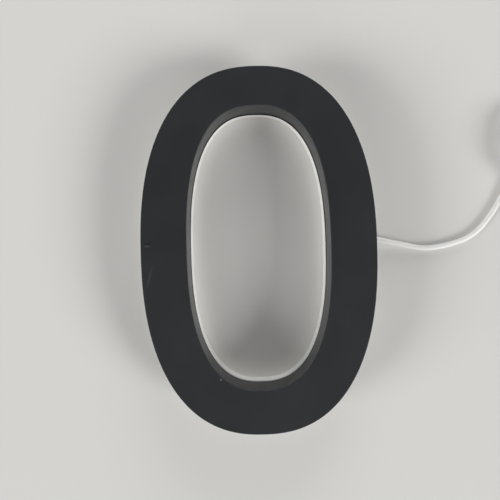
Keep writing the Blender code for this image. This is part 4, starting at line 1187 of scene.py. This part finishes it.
def makeWiring(look):
    rise, level = leadLine[0][1:]
    inside = (nodeBox("cord_inside")[0][0], rise, level)
    line = np.linspace(inside, leadLine[0] + (0.05, 0, 0), 12)
    jacket = sweptTube(line, leadSettings["diameter"] / 2 - 0.01)
    gridPiece("jacketEnd", jacket, whiteJacket, "white_pvc", "cord_inside")
    makeCore("redCore", "red_lead", 1, "red_pvc", redCoat, look)
    makeCore("blackCore", "black_lead", -1, "black_pvc", blackCoat, look)

    # The tie's band is turned about the lead, with fine teeth outside, a cosine of the angle.
    inner, outer, wide = look["band"]
    count, proud = look["teeth"]

    def toothed(radius, height, angle):
        return radius + proud * (radius > outer - 0.2) * np.cos(count * angle)

    middle, half = nodeMiddle("cord_stop")[0], wide / 2
    corners = [(inner, -half, 0.1), (outer, -half, 0.25), (outer, half, 0.25), (inner, half, 0.1)]
    band = turnedGrid(roundCorners(corners), (middle, rise, level), 160, "x", toothed)
    meshes = [gridMesh("band", band, closedRows=True)]
    across, tall = look["head"][1:]
    high = nodeLevels("cord_stop")[1] - tall
    head, tail = (middle, rise, high), (middle, rise + across / 2, high + look["tailUp"])
    for part, soft, place in (("head", 0.35, head), ("tail", 0.1, tail)):
        meshes.append(roundedBox(part, look[part], soft, place, np.eye(3)))
    addPiece(joinedMesh("cableTie", meshes), [nylon], "nylon", "cord_stop")


solderMask = mouldedPlastic("whiteSolderMask", "dedfdc", "eaeae6", 0.4, 0.3)
lampHousing = mouldedPlastic("whiteLampHousing", "e9e9e5", "f1f1ee", 0.4, 0.12)
lampGel = mouldedPlastic("yellowPhosphorGel", "d8c65a", "e6d77c", 0.25, 0.2, soft=0.2)
ceramic = mouldedPlastic("aluminaCeramic", "d9d7cf", "e4e2da", 0.6, 0.1)
tinned = platedMetal("tinnedCopper", "b2b3b1", "d0d0cd", 0.35, 0.3)
redCoat = mouldedPlastic("redPvcCore", "a5201c", "b72a24", 0.4, 0.2)
blackCoat = mouldedPlastic("blackPvcCore", "151516", "1e1e20", 0.4, 0.2)
nylon = mouldedPlastic("naturalNylon", "dcdbd2", "e8e7df", 0.45, 0.2, soft=0.2)
makeTape(tapeSettings)
for number in range(1, 16):
    makeLamp(number, lampSettings)
for number in range(1, 6):
    makeResistor(number, resistorSettings)
makeWiring(wiringSettings)
print("lamp tape and wiring made")


# A plain pale floor, four soft distant lamps and a room that is paler near the horizon.
studioSettings = {
    "floor": "e1e0dd",
    "floorSize": 4000.0,
    "floorLevel": -0.02,
    "roomLow": 0.42,
    "roomHigh": 0.16,
    "horizon": 0.86,
    "zenith": 0.14,
    "fade": (0.6, 0.9),
    # degrees round, up and wide, and power
    "lamps": ((-30, 29, 24, 1.68), (200, 25, 24, 1.42), (82, 17, 30, 1.00), (250, 27, 30, 0.56)),
}


def makeStudio(look):
    half, level = look["floorSize"] / 2, look["floorLevel"]
    corners = [[(x, y, level) for x in (-half, half)] for y in (-half, half)]
    mesh = gridMesh("floor", np.array(corners), closedColumns=False)
    matt = {"Base Color": linear(look["floor"]), "Roughness": 0.9, "Specular IOR Level": 0.2}
    mesh.materials.append(newMaterial("plainFloor", matt)[0])
    addObject("floor", mesh)
    for number, (*angles, power) in enumerate(look["lamps"], 1):
        turn, up, wide = (math.radians(angle) for angle in angles)
        data = bpy.data.lights.new(f"softLamp{number}", "SUN")
        data.angle, data.energy = wide, power
        addObject(f"softLamp{number}", data).rotation_euler = (0, math.pi / 2 - up, turn)

    # The room lights the object softly, and shows as a grey that falls off with height where it is
    # seen, mirrored or looked through to.
    world = bpy.data.worlds.new("room")
    bpy.context.scene.world = world
    world.use_nodes = True
    tree = world.node_tree
    tree.nodes.clear()
    rays = addNode(tree, "LightPath")
    seen = (rays, "Is Camera Ray")
    for ray in ("Is Glossy Ray", "Is Transmission Ray"):
        seen = (addNode(tree, "Math", {"operation": "MAXIMUM"}, {0: seen, 1: (rays, ray)}), 0)
    place = addNode(tree, "TexCoord")
    up = {"Value": (addNode(tree, "SeparateXYZ", {}, {0: (place, "Generated")}), 2)}
    low, high = look["fade"]
    fall = {"From Min": low, "From Max": high, "To Min": look["horizon"], "To Max": look["zenith"]}
    shade = addNode(tree, "MapRange", fall, up)
    grey = addNode(tree, "CombineColor", {}, {k: (shade, 0) for k in range(3)})
    soft = addNode(tree, "MapRange", {"To Min": look["roomLow"], "To Max": look["roomHigh"]}, up)
    lit = addNode(tree, "Background", {"Color": (1, 1, 1, 1)}, {"Strength": (soft, 0)})
    shown = addNode(tree, "Background", {"Strength": 1.0}, {"Color": (grey, 0)})
    both = addNode(tree, "MixShader", {}, {0: seen, 1: (lit, 0), 2: (shown, 0)})
    addNode(tree, "OutputWorld", {}, {"Surface": (both, 0)})
    bpy.context.scene.view_settings.view_transform = "Standard"


makeStudio(studioSettings)
print("studio made")
